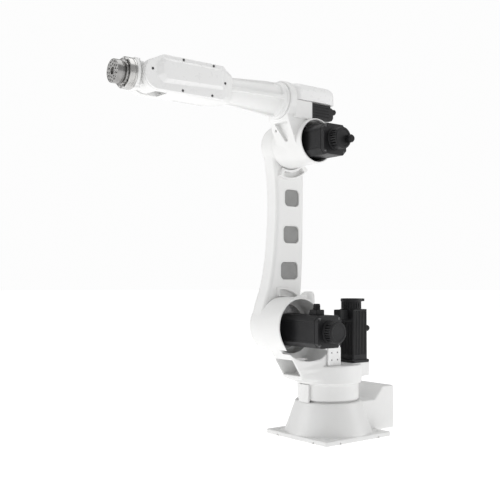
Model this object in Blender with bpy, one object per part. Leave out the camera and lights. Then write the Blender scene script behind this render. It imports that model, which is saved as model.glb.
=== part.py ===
"""Floor-mounted six-axis robot arm, built as separate pieces on seven moving bodies.

Frame: origin on the waist axis at floor level, +X the way the forearm points,
+Y the side that carries the shoulder and elbow motors, +Z up. Lengths below are
in millimetres and become metres when a mesh is made.
"""

import math

import bmesh
import bpy
from mathutils import Vector

for old in list(bpy.data.objects):
    bpy.data.objects.remove(old, do_unlink=True)

# ---- driving dimensions, mm ------------------------------------------------
GAP = 0.3  # running and seating clearance between neighbouring solids
SEG_L = 32  # sides of the biggest turned shapes
SEG = 24  # sides of a large turned shape
SEG_S = 12  # sides of a small turned shape

PLATE, PLATE_T, PLATE_HOLE_AT, PLATE_HOLE_D = 350.0, 18.0, 133.0, 18.0
CONE_R0, CONE_R1, CONE_TOP = 171.0, 129.0, 140.0
TURRET_Z0, RING_SPLIT, TURRET_TOP = 147.0, 211.0, 283.0
RING_LOW_R, RING_UP_R = 121.5, 134.0
BOX_X0, BOX_X1, BOX_HALF_Y, BOX_TOP = -287.0, -222.0, 90.0, 182.0

J2 = (166.0, 433.0)  # shoulder axis, x and z
J3 = (125.0, 1146.0)  # elbow axis, x and z
FORE_Z = 1296.0  # height of the forearm axis
J5_X = 826.0  # wrist bend axis
FLANGE_X = 964.5  # front of the tool flange

HOUSING_R, HOUSING_BORE = 112.0, 104.0
HOUSING_Y0, HOUSING_Y1 = -90.0, 28.0
ARM_Y0, ARM_Y1 = -165.0, -90.3
J2_DROP, J3_DROP = 12.0, 8.0  # the big motors hang this far below their joint axes
BIG_HALF, BIG_CH = 60.0, 18.0  # half width and corner cut of the big motors

J4_RING_R, J4_FLANGE_R = 76.0, 66.0

# ---- the bodies' frames ----------------------------------------------------
PIVOT = {
    "base": (0.0, 0.0, 0.0),
    "turret": (0.0, 0.0, TURRET_Z0),
    "upper_arm": (J2[0], -90.0, J2[1]),
    "elbow": (J3[0], -90.0, J3[1]),
    "forearm": (255.0, 0.0, FORE_Z),
    "belt_drive": (620.0, 52.0, FORE_Z),
    "wrist": (J5_X, 0.0, FORE_Z),
    "tool": (926.0, 0.0, FORE_Z),
}
PARENT = {
    "base": None,
    "turret": "base",
    "upper_arm": "turret",
    "elbow": "upper_arm",
    "forearm": "elbow",
    "belt_drive": "forearm",
    "wrist": "forearm",
    "tool": "wrist",
}

EMPTY = {}
for body, at in PIVOT.items():
    empty = bpy.data.objects.new(body + "_axis", None)
    empty.empty_display_size = 0.05
    bpy.context.scene.collection.objects.link(empty)
    up = PARENT[body]
    origin = Vector(PIVOT[up]) if up else Vector((0, 0, 0))
    if up:
        empty.parent = EMPTY[up]
    empty.location = (Vector(at) - origin) * 0.001
    EMPTY[body] = empty

# ---- materials -------------------------------------------------------------
COLOURS = {
    "casting_white": ((0.80, 0.80, 0.79), 0.35, 0.0),
    "cover_white": ((0.84, 0.84, 0.84), 0.28, 0.0),
    "motor_black": ((0.025, 0.025, 0.027), 0.42, 0.0),
    "plug_black": ((0.018, 0.018, 0.02), 0.5, 0.0),
    "window_grey": ((0.25, 0.25, 0.245), 0.5, 0.0),
    "steel": ((0.56, 0.55, 0.54), 0.3, 1.0),
    "dark_steel": ((0.16, 0.16, 0.17), 0.4, 1.0),
    "belt_rubber": ((0.02, 0.02, 0.02), 0.8, 0.0),
    "zinc": ((0.45, 0.45, 0.46), 0.35, 1.0),
}
MATERIAL = {}
for name, (rgb, rough, metal) in COLOURS.items():
    mat = bpy.data.materials.new(name)
    mat.use_nodes = True
    bsdf = mat.node_tree.nodes["Principled BSDF"]
    bsdf.inputs["Base Color"].default_value = (*rgb, 1.0)
    bsdf.inputs["Roughness"].default_value = rough
    bsdf.inputs["Metallic"].default_value = metal
    mat.diffuse_color = (*rgb, 1.0)
    MATERIAL[name] = mat


# ---- outlines --------------------------------------------------------------
def arc(cx, cy, r, a0, a1, n):
    """n+1 points on a circle from angle a0 to a1, in degrees."""
    out = []
    for i in range(n + 1):
        a = math.radians(a0 + (a1 - a0) * i / n)
        out.append((cx + r * math.cos(a), cy + r * math.sin(a)))
    return out


def rrect(x0, x1, y0, y1, r, n=3):
    """A rectangle with round corners, anticlockwise."""
    r = min(r, (x1 - x0) / 2 - 0.01, (y1 - y0) / 2 - 0.01)
    return (
        arc(x1 - r, y0 + r, r, -90, 0, n)
        + arc(x1 - r, y1 - r, r, 0, 90, n)
        + arc(x0 + r, y1 - r, r, 90, 180, n)
        + arc(x0 + r, y0 + r, r, 180, 270, n)
    )


def chrect(x0, x1, y0, y1, c):
    """A rectangle with cut corners."""
    return [
        (x0 + c, y0), (x1 - c, y0), (x1, y0 + c), (x1, y1 - c),
        (x1 - c, y1), (x0 + c, y1), (x0, y1 - c), (x0, y0 + c),
    ]


def place(axis, a, b, t):
    """A point from plane coordinates (a, b) and the distance t along the axis."""
    if axis == "X":
        return (t, a, b)
    if axis == "Y":
        return (a, t, b)
    return (a, b, t)


# ---- closed shapes ---------------------------------------------------------
def finish(bm):
    bmesh.ops.recalc_face_normals(bm, faces=bm.faces)
    if bm.calc_volume(signed=True) < 0:
        bmesh.ops.reverse_faces(bm, faces=bm.faces)
    return bm


def prism(points, axis, lo, hi, bevel=0.0, cap=None):
    """An outline pushed from lo to hi along an axis; bevel rounds its end edges."""
    bm = bmesh.new()
    low = [bm.verts.new(place(axis, a, b, lo)) for a, b in points]
    high = [bm.verts.new(place(axis, a, b, hi)) for a, b in points]
    bm.faces.new(low)
    bm.faces.new(high[::-1])
    n = len(points)
    for i in range(n):
        j = (i + 1) % n
        bm.faces.new((low[i], low[j], high[j], high[i]))
    finish(bm)
    if bevel:
        ends = []
        for ring, which in ((low, "lo"), (high, "hi")):
            if cap and cap != which:
                continue
            for i in range(n):
                ends.append(bm.edges.get((ring[i], ring[(i + 1) % n])))
        bmesh.ops.bevel(bm, geom=ends, offset=bevel, offset_type="OFFSET", segments=1,
                        profile=0.5, affect="EDGES", clamp_overlap=True)
        finish(bm)
    return bm


def box(x0, x1, y0, y1, z0, z1, bevel=0.0):
    bm = prism([(x0, y0), (x1, y0), (x1, y1), (x0, y1)], "Z", z0, z1)
    if bevel:
        bmesh.ops.bevel(bm, geom=list(bm.edges), offset=bevel, offset_type="OFFSET", segments=1,
                        profile=0.5, affect="EDGES", clamp_overlap=True)
        finish(bm)
    return bm


def turned(profile, axis, ca, cb, n=SEG):
    """A profile of (radius, distance) turned about an axis through (ca, cb).

    A profile that starts and ends at radius 0 gives a solid with flat ends."""
    bm = bmesh.new()
    rings = []
    solid = profile[0][0] < 1e-6
    if solid:
        profile = profile[1:-1]
    for r, t in profile:
        rings.append([
            bm.verts.new(place(axis, ca + r * math.cos(2 * math.pi * (k + 0.5) / n),
                               cb + r * math.sin(2 * math.pi * (k + 0.5) / n), t))
            for k in range(n)
        ])
    pairs = list(zip(rings, rings[1:]))
    if solid:
        bm.faces.new(rings[0])
        bm.faces.new(rings[-1][::-1])
    else:
        pairs.append((rings[-1], rings[0]))
    for one, two in pairs:
        for k in range(n):
            m = (k + 1) % n
            bm.faces.new((one[k], one[m], two[m], two[k]))
    return finish(bm)


def disc(axis, ca, cb, r, lo, hi, n=SEG, ch=0.0, ch_lo=None):
    """A plain cylinder with optional edge chamfers."""
    lo_ch = ch if ch_lo is None else ch_lo
    profile = [(0, lo), (r - lo_ch, lo)]
    if lo_ch:
        profile.append((r, lo + lo_ch))
    if ch:
        profile.append((r, hi - ch))
    profile += [(r - ch, hi), (0, hi)]
    return turned(profile, axis, ca, cb, n)


def tube(axis, ca, cb, r_in, r_out, lo, hi, n=SEG):
    return turned([(r_in, lo), (r_out, lo), (r_out, hi), (r_in, hi)], axis, ca, cb, n)


def skin(sections):
    """Closed rings with equal point counts, joined in order and capped."""
    bm = bmesh.new()
    rings = [[bm.verts.new(p) for p in ring] for ring in sections]
    n = len(rings[0])
    bm.faces.new(rings[0])
    bm.faces.new(rings[-1][::-1])
    for one, two in zip(rings, rings[1:]):
        for k in range(n):
            m = (k + 1) % n
            bm.faces.new((one[k], one[m], two[m], two[k]))
    return finish(bm)


# ---- assembly --------------------------------------------------------------
def to_object(bm, name):
    mesh = bpy.data.meshes.new(name)
    for v in bm.verts:
        v.co *= 0.001
    bm.to_mesh(mesh)
    bm.free()
    obj = bpy.data.objects.new(name, mesh)
    bpy.context.scene.collection.objects.link(obj)
    return obj


def combine(obj, bm, operation):
    tool = to_object(bm, "tool_shape")
    mod = obj.modifiers.new("shape", "BOOLEAN")
    mod.operation = operation
    mod.solver = "EXACT"
    mod.object = tool
    bpy.context.view_layer.update()
    graph = bpy.context.evaluated_depsgraph_get()
    mesh = bpy.data.meshes.new_from_object(obj.evaluated_get(graph))
    obj.modifiers.clear()
    obj.data = mesh
    bpy.data.objects.remove(tool, do_unlink=True)


def piece(name, body, material, adds, cuts=()):
    """One named solid: the first shape, plus the other shapes, minus the cuts."""
    obj = to_object(adds[0], name)
    for bm in adds[1:]:
        combine(obj, bm, "UNION")
    for bm in cuts:
        combine(obj, bm, "DIFFERENCE")
    pivot = Vector(PIVOT[body]) * 0.001
    work = bmesh.new()
    work.from_mesh(obj.data)
    bmesh.ops.remove_doubles(work, verts=work.verts, dist=2e-6)
    for v in work.verts:
        v.co -= pivot
    work.to_mesh(obj.data)
    work.free()
    obj.data.name = name
    obj.data.materials.clear()
    obj.data.materials.append(MATERIAL[material])
    for poly in obj.data.polygons:
        poly.use_smooth = True
    obj.data.set_sharp_from_angle(angle=math.radians(32))
    obj.parent = EMPTY[body]
    return obj


# =============================== base =======================================
def cone_r(z):
    return CONE_R0 + (CONE_R1 - CONE_R0) * (z - 24.0) / (CONE_TOP - 24.0)


holes = []
for sx in (-1, 1):
    for sy in (-1, 1):
        px, py = sx * PLATE_HOLE_AT, sy * PLATE_HOLE_AT
        holes.append(turned([(0, -1), (PLATE_HOLE_D / 2, -1), (PLATE_HOLE_D / 2, PLATE_T - 5),
                             (14, PLATE_T - 5), (14, PLATE_T + 30), (0, PLATE_T + 30)],
                            "Z", px, py, SEG_S))
base_box = prism([(BOX_X0, 10), (-80, 10), (-80, 132), (-174, 132), (BOX_X1, BOX_TOP), (BOX_X0, BOX_TOP)],
                 "Y", -BOX_HALF_Y, BOX_HALF_Y, bevel=5)
piece("base_casting", "base", "casting_white",
      [prism(rrect(-PLATE / 2, PLATE / 2, -PLATE / 2, PLATE / 2, 10, 3), "Z", 0, PLATE_T, bevel=1.5),
       turned([(0, 10), (CONE_R0 + 2, 10), (CONE_R0 + 2, 20), (CONE_R0, 24), (CONE_R1 + 1.5, CONE_TOP - 4),
               (CONE_R1 - 2.5, CONE_TOP), (112, CONE_TOP), (112, TURRET_Z0 - GAP), (0, TURRET_Z0 - GAP)],
              "Z", 0, 0, SEG_L),
       base_box],
      holes + [
          box(BOX_X0 - 5, BOX_X0 + 6, -70, 70, 32, 162),
          box(BOX_X0 + 5, -200, -60, 60, 40, 154),
          disc("Z", 0, 0, 100, 60, TURRET_Z0 + 20, SEG_L),
      ])
piece("base_connector_panel", "base", "dark_steel",
      [box(BOX_X0 + 1, BOX_X0 + 6 - GAP, -70 + GAP, 70 - GAP, 32 + GAP, 162 - GAP)],
      [box(BOX_X0 - 5, BOX_X0 + 10, -50, -6, 84, 138), disc("X", 32, 112, 17, BOX_X0 - 5, BOX_X0 + 10, SEG_S)])
piece("power_connector", "base", "plug_black",
      [box(BOX_X0 - 9, BOX_X0 + 30, -50 + GAP, -6 - GAP, 84 + GAP, 138 - GAP, 2)],
      [box(BOX_X0 - 20, BOX_X0 - 2, -42, -14, 92, 130)])
piece("signal_connector", "base", "plug_black",
      [turned([(0, BOX_X0 - 2), (11, BOX_X0 - 2), (11, BOX_X0 - 11), (15, BOX_X0 - 11), (17 - GAP, BOX_X0 - 9),
               (17 - GAP, BOX_X0 + 26), (0, BOX_X0 + 26)], "X", 32, 112, SEG_S)])
stop = arc(0, 0, 133, -12.5, 12.5, 4) + arc(0, 0, 122.3, 12.5, -12.5, 4)
piece("j1_stop_block", "base", "casting_white", [prism(stop, "Z", CONE_TOP + GAP, RING_SPLIT - 2, bevel=1.2, cap="hi")])
piece("j1_reducer_case", "base", "dark_steel",
      [turned([(25, 60 + GAP), (100 - GAP, 60 + GAP), (100 - GAP, 138), (25, 138)], "Z", 0, 0, SEG_L)])

# =============================== turret =====================================
# The bracket's sloping front edge: x = FRONT_FOOT + FRONT_SLOPE * (z - 242).
FRONT_FOOT, FRONT_SLOPE = 162.0, 0.66
M1 = (-80.0, 63.0)  # waist motor axis, x and y
M1_Z = 288.0

ring = turned([(0, TURRET_Z0), (RING_LOW_R, TURRET_Z0), (RING_LOW_R, RING_SPLIT - 1), (RING_UP_R - 4, RING_SPLIT - 1),
               (RING_UP_R, RING_SPLIT + 2), (RING_UP_R, TURRET_TOP - 3), (RING_UP_R - 3, TURRET_TOP), (0, TURRET_TOP)],
              "Z", 0, 0, SEG_L)


def bracket_plan(z, front):
    near = HOUSING_Y1 - 0.6
    return [(front, HOUSING_Y0 + 0.6, z), (front, near, z), (104, 84, z), (74, 84, z), (70, 20, z),
            (20, 10, z), (20, HOUSING_Y0 + 0.6, z)]


bracket = skin([bracket_plan(213.5, 112), bracket_plan(231, FRONT_FOOT), bracket_plan(242, FRONT_FOOT),
                bracket_plan(345, FRONT_FOOT + FRONT_SLOPE * 103)])
cheek = prism([(258, 388), (225, 338), (50, 338), (60, 433), (200, 433)], "Y", HOUSING_Y0 + 0.9, HOUSING_Y1 - 0.9)
housing = disc("Y", J2[0], J2[1], HOUSING_R, HOUSING_Y0, HOUSING_Y1, SEG_L, ch=3)
lug = turned([(0, 520), (25, 520), (25, 552), (21, 562), (12, 568), (0, 568)], "Z", 108, 4, SEG_S)
foot = prism([(M1[0] - 46, 40), (-40, 40), (M1[0] + 46, 15), (M1[0] + 46, 109), (M1[0] - 46, 109)], "Z", 234, M1_Z, bevel=2)
stop_lug = box(-131, -112, -11, 11, 152, 205)
# the mouth of the motor well: round above, dropping lower at the back for cables
mouth = []
for k in range(SEG_L):
    a = 2 * math.pi * (k + 0.25) / SEG_L
    r = HOUSING_BORE + 0.5 + 28 * max(0.0, math.cos(a + math.radians(112))) ** 2
    mouth.append((J2[0] + r * math.cos(a), J2[1] + r * math.sin(a)))
piece("turret_casting", "turret", "casting_white",
      [ring, bracket, cheek, housing, lug, foot, stop_lug],
      [
          # the motor well, open towards +Y, and the reducer seat behind it
          turned([(0, -72), (96, -72), (HOUSING_BORE, -62), (HOUSING_BORE, HOUSING_Y1 + 5), (0, HOUSING_Y1 + 5)],
                 "Y", J2[0], J2[1], SEG_L),
          prism(mouth, "Y", -20, 120),
          disc("Y", J2[0], J2[1], 62, -100, -60),
          # the pocket in the front of the bracket
          prism([(270, 306), (270, 243), (96, 243), (110, 306)], "Y", HOUSING_Y0 + 9, HOUSING_Y1 - 9),
          # lifting thread in the boss, and the hollow under the ring
          disc("Z", 108, 4, 8, 550, 580, SEG_S),
          disc("Z", 0, 0, 84, TURRET_Z0 - 10, TURRET_Z0 + 6),
      ])
piece("j1_reducer_output", "turret", "dark_steel",
      [turned([(0, 138 + GAP), (92, 138 + GAP), (92, TURRET_Z0 - 1), (84 - GAP, TURRET_Z0 - 1),
               (84 - GAP, TURRET_Z0 + 6 - GAP), (0, TURRET_Z0 + 6 - GAP)], "Z", 0, 0)])
piece("j1_motor_flange", "turret", "motor_black",
      [prism(rrect(M1[0] - 46, M1[0] + 46, M1[1] - 46, M1[1] + 46, 8, 3), "Z", M1_Z + GAP, M1_Z + 10)])
piece("j1_motor_body", "turret", "motor_black",
      [prism(chrect(M1[0] - 39.5, M1[0] + 39.5, M1[1] - 39.5, M1[1] + 39.5, 3), "Z", M1_Z + 10 + GAP, 496)],
      [box(M1[0] - 22 + 11 * k, M1[0] - 19 + 11 * k, M1[1] + 37, M1[1] + 50, 322, 488) for k in range(5)]
      + [box(M1[0] + 37, M1[0] + 50, M1[1] - 22 + 11 * k, M1[1] - 19 + 11 * k, 322, 445) for k in range(5)])
M1C = (M1[0] + 6, M1[1] - 5)
piece("j1_encoder_cap", "turret", "motor_black",
      [disc("Z", M1C[0], M1C[1], 40, 496 + GAP, 530, SEG), disc("Z", M1C[0], M1C[1], 42, 526, 538, SEG, ch=2),
       prism(rrect(M1C[0] - 58, M1C[0], M1C[1] - 14, M1C[1] + 24, 10, 4), "Z", 526.5, 537.5)],
      [box(M1C[0] - 2, M1C[0] + 2, M1C[1] + 33, M1C[1] + 60, 502, 524),
       box(M1C[0] - 14, M1C[0] - 10, M1C[1] + 31, M1C[1] + 60, 502, 524),
       box(M1C[0] + 10, M1C[0] + 14, M1C[1] + 31, M1C[1] + 60, 502, 524),
       box(M1C[0] + 32, M1C[0] + 60, M1C[1] - 2, M1C[1] + 2, 502, 524),
       box(M1C[0] + 32, M1C[0] + 60, M1C[1] - 14, M1C[1] - 10, 502, 524),
       box(M1C[0] + 32, M1C[0] + 60, M1C[1] + 10, M1C[1] + 14, 502, 524)])
piece("j1_motor_terminal_box", "turret", "plug_black",
      [box(M1[0] + 39.5 + GAP, M1[0] + 84, M1[1] - 24, M1[1] + 12, 456, 495, 2.5)])
piece("j1_motor_plug", "turret", "plug_black",
      [turned([(0, M1[0] - 39.5 - GAP), (12, M1[0] - 39.5 - GAP), (12, M1[0] - 52), (9, M1[0] - 57), (0, M1[0] - 57)],
              "X", M1[1] + 26, 420, SEG_S)])
piece("terminal_plate", "turret", "casting_white",
      [box(20, 86, 86, 94, TURRET_TOP + GAP, 352, 1.5)],
      [disc("Y", x, z, 3.2, 90, 100, 8) for x in (38, 68) for z in (305, 333)])


def big_motor(prefix, body, cx, cz, y0, y1, half, drop):
    """Square servo motor along Y, its round ribbed end cap and its plugs."""
    cz -= drop
    piece(prefix + "_motor_body", body, "motor_black",
          [prism(chrect(cx - half, cx + half, cz - half, cz + half, BIG_CH), "Y", y0, y1, bevel=1.5, cap="hi")])
    slots = [box(cx + 22, cx + 60, y1 + 14, y1 + 60, cz - 36 + 10 * k, cz - 32 + 10 * k) for k in range(6)]
    piece(prefix + "_encoder_cap", body, "motor_black",
          [turned([(0, y1 + GAP), (42, y1 + GAP), (42, y1 + 42), (39, y1 + 45), (0, y1 + 45)], "Y", cx, cz, 40)], slots)


big_motor("j2", "turret", J2[0], J2[1], -57, 186, BIG_HALF, J2_DROP)
M2Z = J2[1] - J2_DROP
piece("j2_motor_terminal_box", "turret", "plug_black",
      [box(148, 190, 99, 139, M2Z + BIG_HALF + GAP, M2Z + BIG_HALF + 20, 2)])
piece("j2_motor_plug", "turret", "plug_black",
      [turned([(0, M2Z + BIG_HALF + 20 + GAP), (13, M2Z + BIG_HALF + 20 + GAP), (13, M2Z + BIG_HALF + 36),
               (11, M2Z + BIG_HALF + 42), (0, M2Z + BIG_HALF + 42)], "Z", 169, 119, SEG_S)])
piece("j2_reducer_case", "turret", "dark_steel",
      [turned([(0, -90 + GAP), (62 - GAP, -90 + GAP), (62 - GAP, -72 + GAP), (86, -72 + GAP), (86, -57 - GAP), (0, -57 - GAP)],
              "Y", J2[0], J2[1])])

# =============================== upper arm ==================================
# z, back edge x, front edge x, far face y
STATIONS = [
    (452, 68, 268, -165),
    (520, 56, 246, -165),
    (592, 48, 220, -164),
    (680, 43, 202, -163),
    (770, 40, 192, -162),
    (860, 39, 186, -162),
    (935, 38, 185, -162),
    (1020, 37, 189, -163),
    (1090, 38, 199, -164),
    (1130, 40, 206, -164.5),
]
ARM_FACE = -95.0
sections = []
for z, xb, xf, yf in STATIONS:
    sections.append([(x, y, z) for x, y in rrect(xb, xf, yf, ARM_FACE, 15, 2)])
arm_adds = [
    skin(sections),
    disc("Y", J2[0], J2[1], 104, ARM_Y0, ARM_Y1, SEG_L, ch=1.5, ch_lo=9),
    disc("Y", J3[0], J3[1], 87, ARM_Y0, ARM_Y1, SEG_L, ch=1.5, ch_lo=9),
]


def crescent(cx, cz, r0, r1, a0, a1, lo, hi):
    return prism(arc(cx, cz, r1, a0, a1, 8) + arc(cx, cz, r0, a1, a0, 8), "Y", lo, hi, bevel=1.5, cap="hi")


arm_adds.append(crescent(J2[0], J2[1], 113.5, 150, 82, 128, -100, -84))
arm_adds.append(crescent(J3[0], J3[1], 94.5, 132, 222, 292, -100, -83))
WINDOWS = [("lower", 614, 683, 74, 162), ("middle", 759, 827, 69, 148), ("upper", 907, 973, 67, 141)]
arm_cuts = [prism(rrect(x0, x1, z0, z1, 17, 3), "Y", ARM_FACE - 9, ARM_FACE + 8) for _, z0, z1, x0, x1 in WINDOWS]
arm_cuts.append(prism(arc(J2[0], J2[1], 141, 86, 124, 7) + arc(J2[0], J2[1], 117, 124, 86, 7), "Y", -101, -70))
arm_cuts.append(prism(arc(J3[0], J3[1], 125, 232, 284, 7) + arc(J3[0], J3[1], 103, 284, 232, 7), "Y", -101, -70))
arm_cuts.append(disc("Y", J2[0], J2[1], 56, ARM_Y1 - 8, ARM_Y1 + 5))
arm_cuts.append(disc("Y", J3[0], J3[1], 50, ARM_Y1 - 8, ARM_Y1 + 5))
# the casting is hollow behind the windows
hollow = []
for z, xb, xf, yf in ((560, 66, 212, -150), (700, 56, 186, -149), (860, 52, 172, -149), (1010, 50, 172, -149)):
    hollow.append([(x, y, z) for x, y in rrect(xb, xf, yf, ARM_FACE - 14, 12, 1)])
arm_cuts.append(skin(hollow))
arm_cuts += [prism(rrect(x0 + 7, x1 - 7, z0 + 7, z1 - 7, 11, 2), "Y", ARM_FACE - 20, ARM_FACE - 5) for _, z0, z1, x0, x1 in WINDOWS]
# round service pockets on the far side of both hubs
arm_cuts.append(disc("Y", J2[0], J2[1], 62, ARM_Y0 - 5, ARM_Y0 + 12))
arm_cuts.append(disc("Y", J3[0], J3[1], 55, ARM_Y0 - 5, ARM_Y0 + 12))
piece("upper_arm_casting", "upper_arm", "casting_white", arm_adds, arm_cuts)
for tag, z0, z1, x0, x1 in WINDOWS:
    piece(tag + "_window_cover", "upper_arm", "window_grey",
          [prism(rrect(x0 + GAP, x1 - GAP, z0 + GAP, z1 - GAP, 17 - GAP, 3), "Y", ARM_FACE - 9 + GAP, ARM_FACE - 4)])
piece("j2_output_flange", "upper_arm", "dark_steel",
      [disc("Y", J2[0], J2[1], 56 - GAP, ARM_Y1 - 8 + GAP, ARM_Y1 - GAP)])
piece("j3_output_flange", "upper_arm", "dark_steel",
      [disc("Y", J3[0], J3[1], 50 - GAP, ARM_Y1 - 8 + GAP, ARM_Y1 - GAP)])
piece("lower_hub_cap", "upper_arm", "cover_white",
      [disc("Y", J2[0], J2[1], 62 - GAP, ARM_Y0 + 3, ARM_Y0 + 12 - GAP, SEG, ch=0, ch_lo=2)])
piece("upper_hub_cap", "upper_arm", "cover_white",
      [disc("Y", J3[0], J3[1], 55 - GAP, ARM_Y0 + 3, ARM_Y0 + 12 - GAP, SEG, ch=0, ch_lo=2)])

# =============================== elbow ======================================
ELBOW_R0, ELBOW_R1, ELBOW_Y1, ELBOW_BORE = 91.0, 86.5, 78.0, 80.0
elbow_adds = [
    turned([(0, -90), (ELBOW_R0 - 3, -90), (ELBOW_R0, -87), (ELBOW_R0, -62), (ELBOW_R1, -12), (ELBOW_R1, ELBOW_Y1 - 4),
            (ELBOW_R1 - 3, ELBOW_Y1), (0, ELBOW_Y1)], "Y", J3[0], J3[1], SEG_L),
    # the neck up to the forearm bearing ring
    prism([(206, 1115), (254, 1236), (254, 1300), (136, 1300), (136, 1221), (60, 1221), (60, 1150)], "Y", -62, 52),
    disc("X", 0, FORE_Z, J4_RING_R, 222, 255 - GAP, SEG_L, ch=4),
    # the seat of the forearm motor on the +Y side
    box(133, 221, -56, 61, 1229, 1297, 2),
]
elbow_cuts = [
    turned([(0, -70), (74, -70), (ELBOW_BORE, -64), (ELBOW_BORE, ELBOW_Y1 + 5), (0, ELBOW_Y1 + 5)], "Y", J3[0], J3[1], SEG_L),
    disc("Y", J3[0], J3[1], 56, -100, -60),
    # pocket in the front of the neck, narrowing downwards
    skin([[(206, -4, 1146), (290, -4, 1146), (290, 10, 1146), (206, 10, 1146)],
          [(222, -36, 1213), (290, -36, 1213), (290, 38, 1213), (222, 38, 1213)]]),
]
piece("elbow_casting", "elbow", "casting_white", elbow_adds, elbow_cuts)
big_motor("j3", "elbow", J3[0], J3[1], -57, 176, BIG_HALF - 2, J3_DROP)
M3Z = J3[1] - J3_DROP
piece("j3_motor_plug", "elbow", "plug_black",
      [turned([(0, 221 + 2 * GAP), (15, 221 + 2 * GAP), (15, 240), (11, 244), (0, 244)], "Y", 103, M3Z - 3, SEG_S)])
piece("j3_reducer_case", "elbow", "dark_steel",
      [turned([(0, -90 + GAP), (56 - GAP, -90 + GAP), (56 - GAP, -70 + GAP), (72, -70 + GAP), (72, -57 - GAP), (0, -57 - GAP)],
              "Y", J3[0], J3[1])])
piece("j4_motor_body", "elbow", "motor_black",
      [prism(chrect(-5, 57, 1234, 1296, 6), "X", 34, 133 - GAP)])
piece("j4_encoder_cap", "elbow", "motor_black",
      [prism(chrect(0, 52, 1239, 1291, 9), "X", 14, 34 - GAP)])
piece("j4_motor_plug", "elbow", "plug_black",
      [turned([(0, 14 - GAP), (11, 14 - GAP), (11, 0), (8, -4), (0, -4)], "X", 40, 1276, SEG_S)])
cover_plan = rrect(-2, 221 - GAP, -57, 57, 36, 4)
piece("rear_top_cover", "elbow", "cover_white",
      [prism(cover_plan, "Z", 1300 + GAP, 1366, bevel=14, cap="hi")],
      [prism(rrect(8, 213, -48, 48, 27, 3), "Z", 1290, 1356)])

# =============================== forearm ====================================
TUBE_X0, TUBE_X1 = 255.0, 512.0
rib_adds = []
for side in (0, 1, 2, 3):
    prof = [(TUBE_X0 + 24, 20), (TUBE_X0 + 24, J4_FLANGE_R - 1), (TUBE_X0 + 60, J4_FLANGE_R), (TUBE_X1, 50), (TUBE_X1, 20)]
    if side in (0, 2):
        s = 1 if side == 0 else -1
        rib_adds.append(prism([(x, FORE_Z + s * r) for x, r in prof], "Y", -7, 7))
    else:
        s = 1 if side == 1 else -1
        rib_adds.append(prism([(x, s * r) for x, r in prof], "Z", FORE_Z - 7, FORE_Z + 7))
piece("forearm_tube", "forearm", "casting_white",
      [turned([(0, TUBE_X0), (J4_FLANGE_R + 4, TUBE_X0), (J4_FLANGE_R + 4, TUBE_X0 + 8), (J4_FLANGE_R, TUBE_X0 + 12),
               (J4_FLANGE_R, TUBE_X0 + 26), (56, TUBE_X0 + 30), (55, TUBE_X0 + 60), (46, TUBE_X1), (0, TUBE_X1)],
              "X", 0, FORE_Z, SEG_L)] + rib_adds)
CAS_X0 = TUBE_X1 + GAP
CAS_T = 58.0  # casing half width
casing_adds = [
    skin([
        [(CAS_X0, y, z) for y, z in rrect(-50, 50, FORE_Z - 52, FORE_Z + 54, 22, 3)],
        [(560, y, z) for y, z in rrect(-CAS_T, CAS_T, FORE_Z - 56, FORE_Z + 70, 20, 3)],
        [(700, y, z) for y, z in rrect(-CAS_T, CAS_T, FORE_Z - 55, FORE_Z + 70, 20, 3)],
        [(792, y, z) for y, z in rrect(-CAS_T, CAS_T, FORE_Z - 52.5, FORE_Z + 66, 20, 3)],
    ]),
    prism([(700, FORE_Z - 54)] + arc(J5_X, FORE_Z, 54, -90, 90, 16) + [(700, FORE_Z + 54)],
          "Y", -CAS_T + 0.5, CAS_T - 0.5, bevel=3),
]
casing_cuts = [
    # the throat that the wrist bends in
    prism(arc(J5_X, FORE_Z, 74, 90, 270, 16) + [(900, FORE_Z - 74), (900, FORE_Z + 74)], "Y", -35, 35),
    # the drive room behind the near side cover, and the belt race round the bend axis
    box(556, 734, -50, 44.5, FORE_Z - 44, FORE_Z + 46),
    prism(arc(J5_X, FORE_Z, 40, -90, 90, 10) + arc(620, FORE_Z, 40, 90, 270, 10), "Y", 44, 70),
    disc("Y", J5_X, FORE_Z, 18, -70, 70, SEG_S),
    disc("Y", J5_X, FORE_Z, 30, 35, 41.3, SEG_S),
    disc("Y", J5_X, FORE_Z, 30, -51, -34, SEG_S),
    # the scoop that lets the wrist swing up past square
    prism(arc(J5_X, FORE_Z, 95, 50, 150, 12) + arc(J5_X, FORE_Z, 57, 150, 50, 12), "Y", -62, 62),
]
piece("wrist_casing", "forearm", "casting_white", casing_adds, casing_cuts)


def cover_outline(inset):
    r = 53.0 - inset
    zt, zb = FORE_Z + 68 - inset, FORE_Z - 53 + inset
    x0 = 548.0 + inset
    return ([(x0, zb + 14), (x0 + 14, zb)] + arc(J5_X, FORE_Z, r, -90, 62, 12)
            + [(806 - inset / 2, zt), (x0 + 14, zt), (x0, zt - 14)])


SCREWS = [(850, FORE_Z + 13), (729, FORE_Z + 61), (604, FORE_Z + 61), (732, FORE_Z - 44), (610, FORE_Z - 44), (554, FORE_Z + 8)]
RAISED_FOOT = [(564, -18), (808, -28), (836, -6), (838, 28), (812, 54), (564, 54)]
RAISED_FACE = [(572, -8), (796, -15), (813, 2), (814, 34), (798, 45), (572, 45)]


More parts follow.
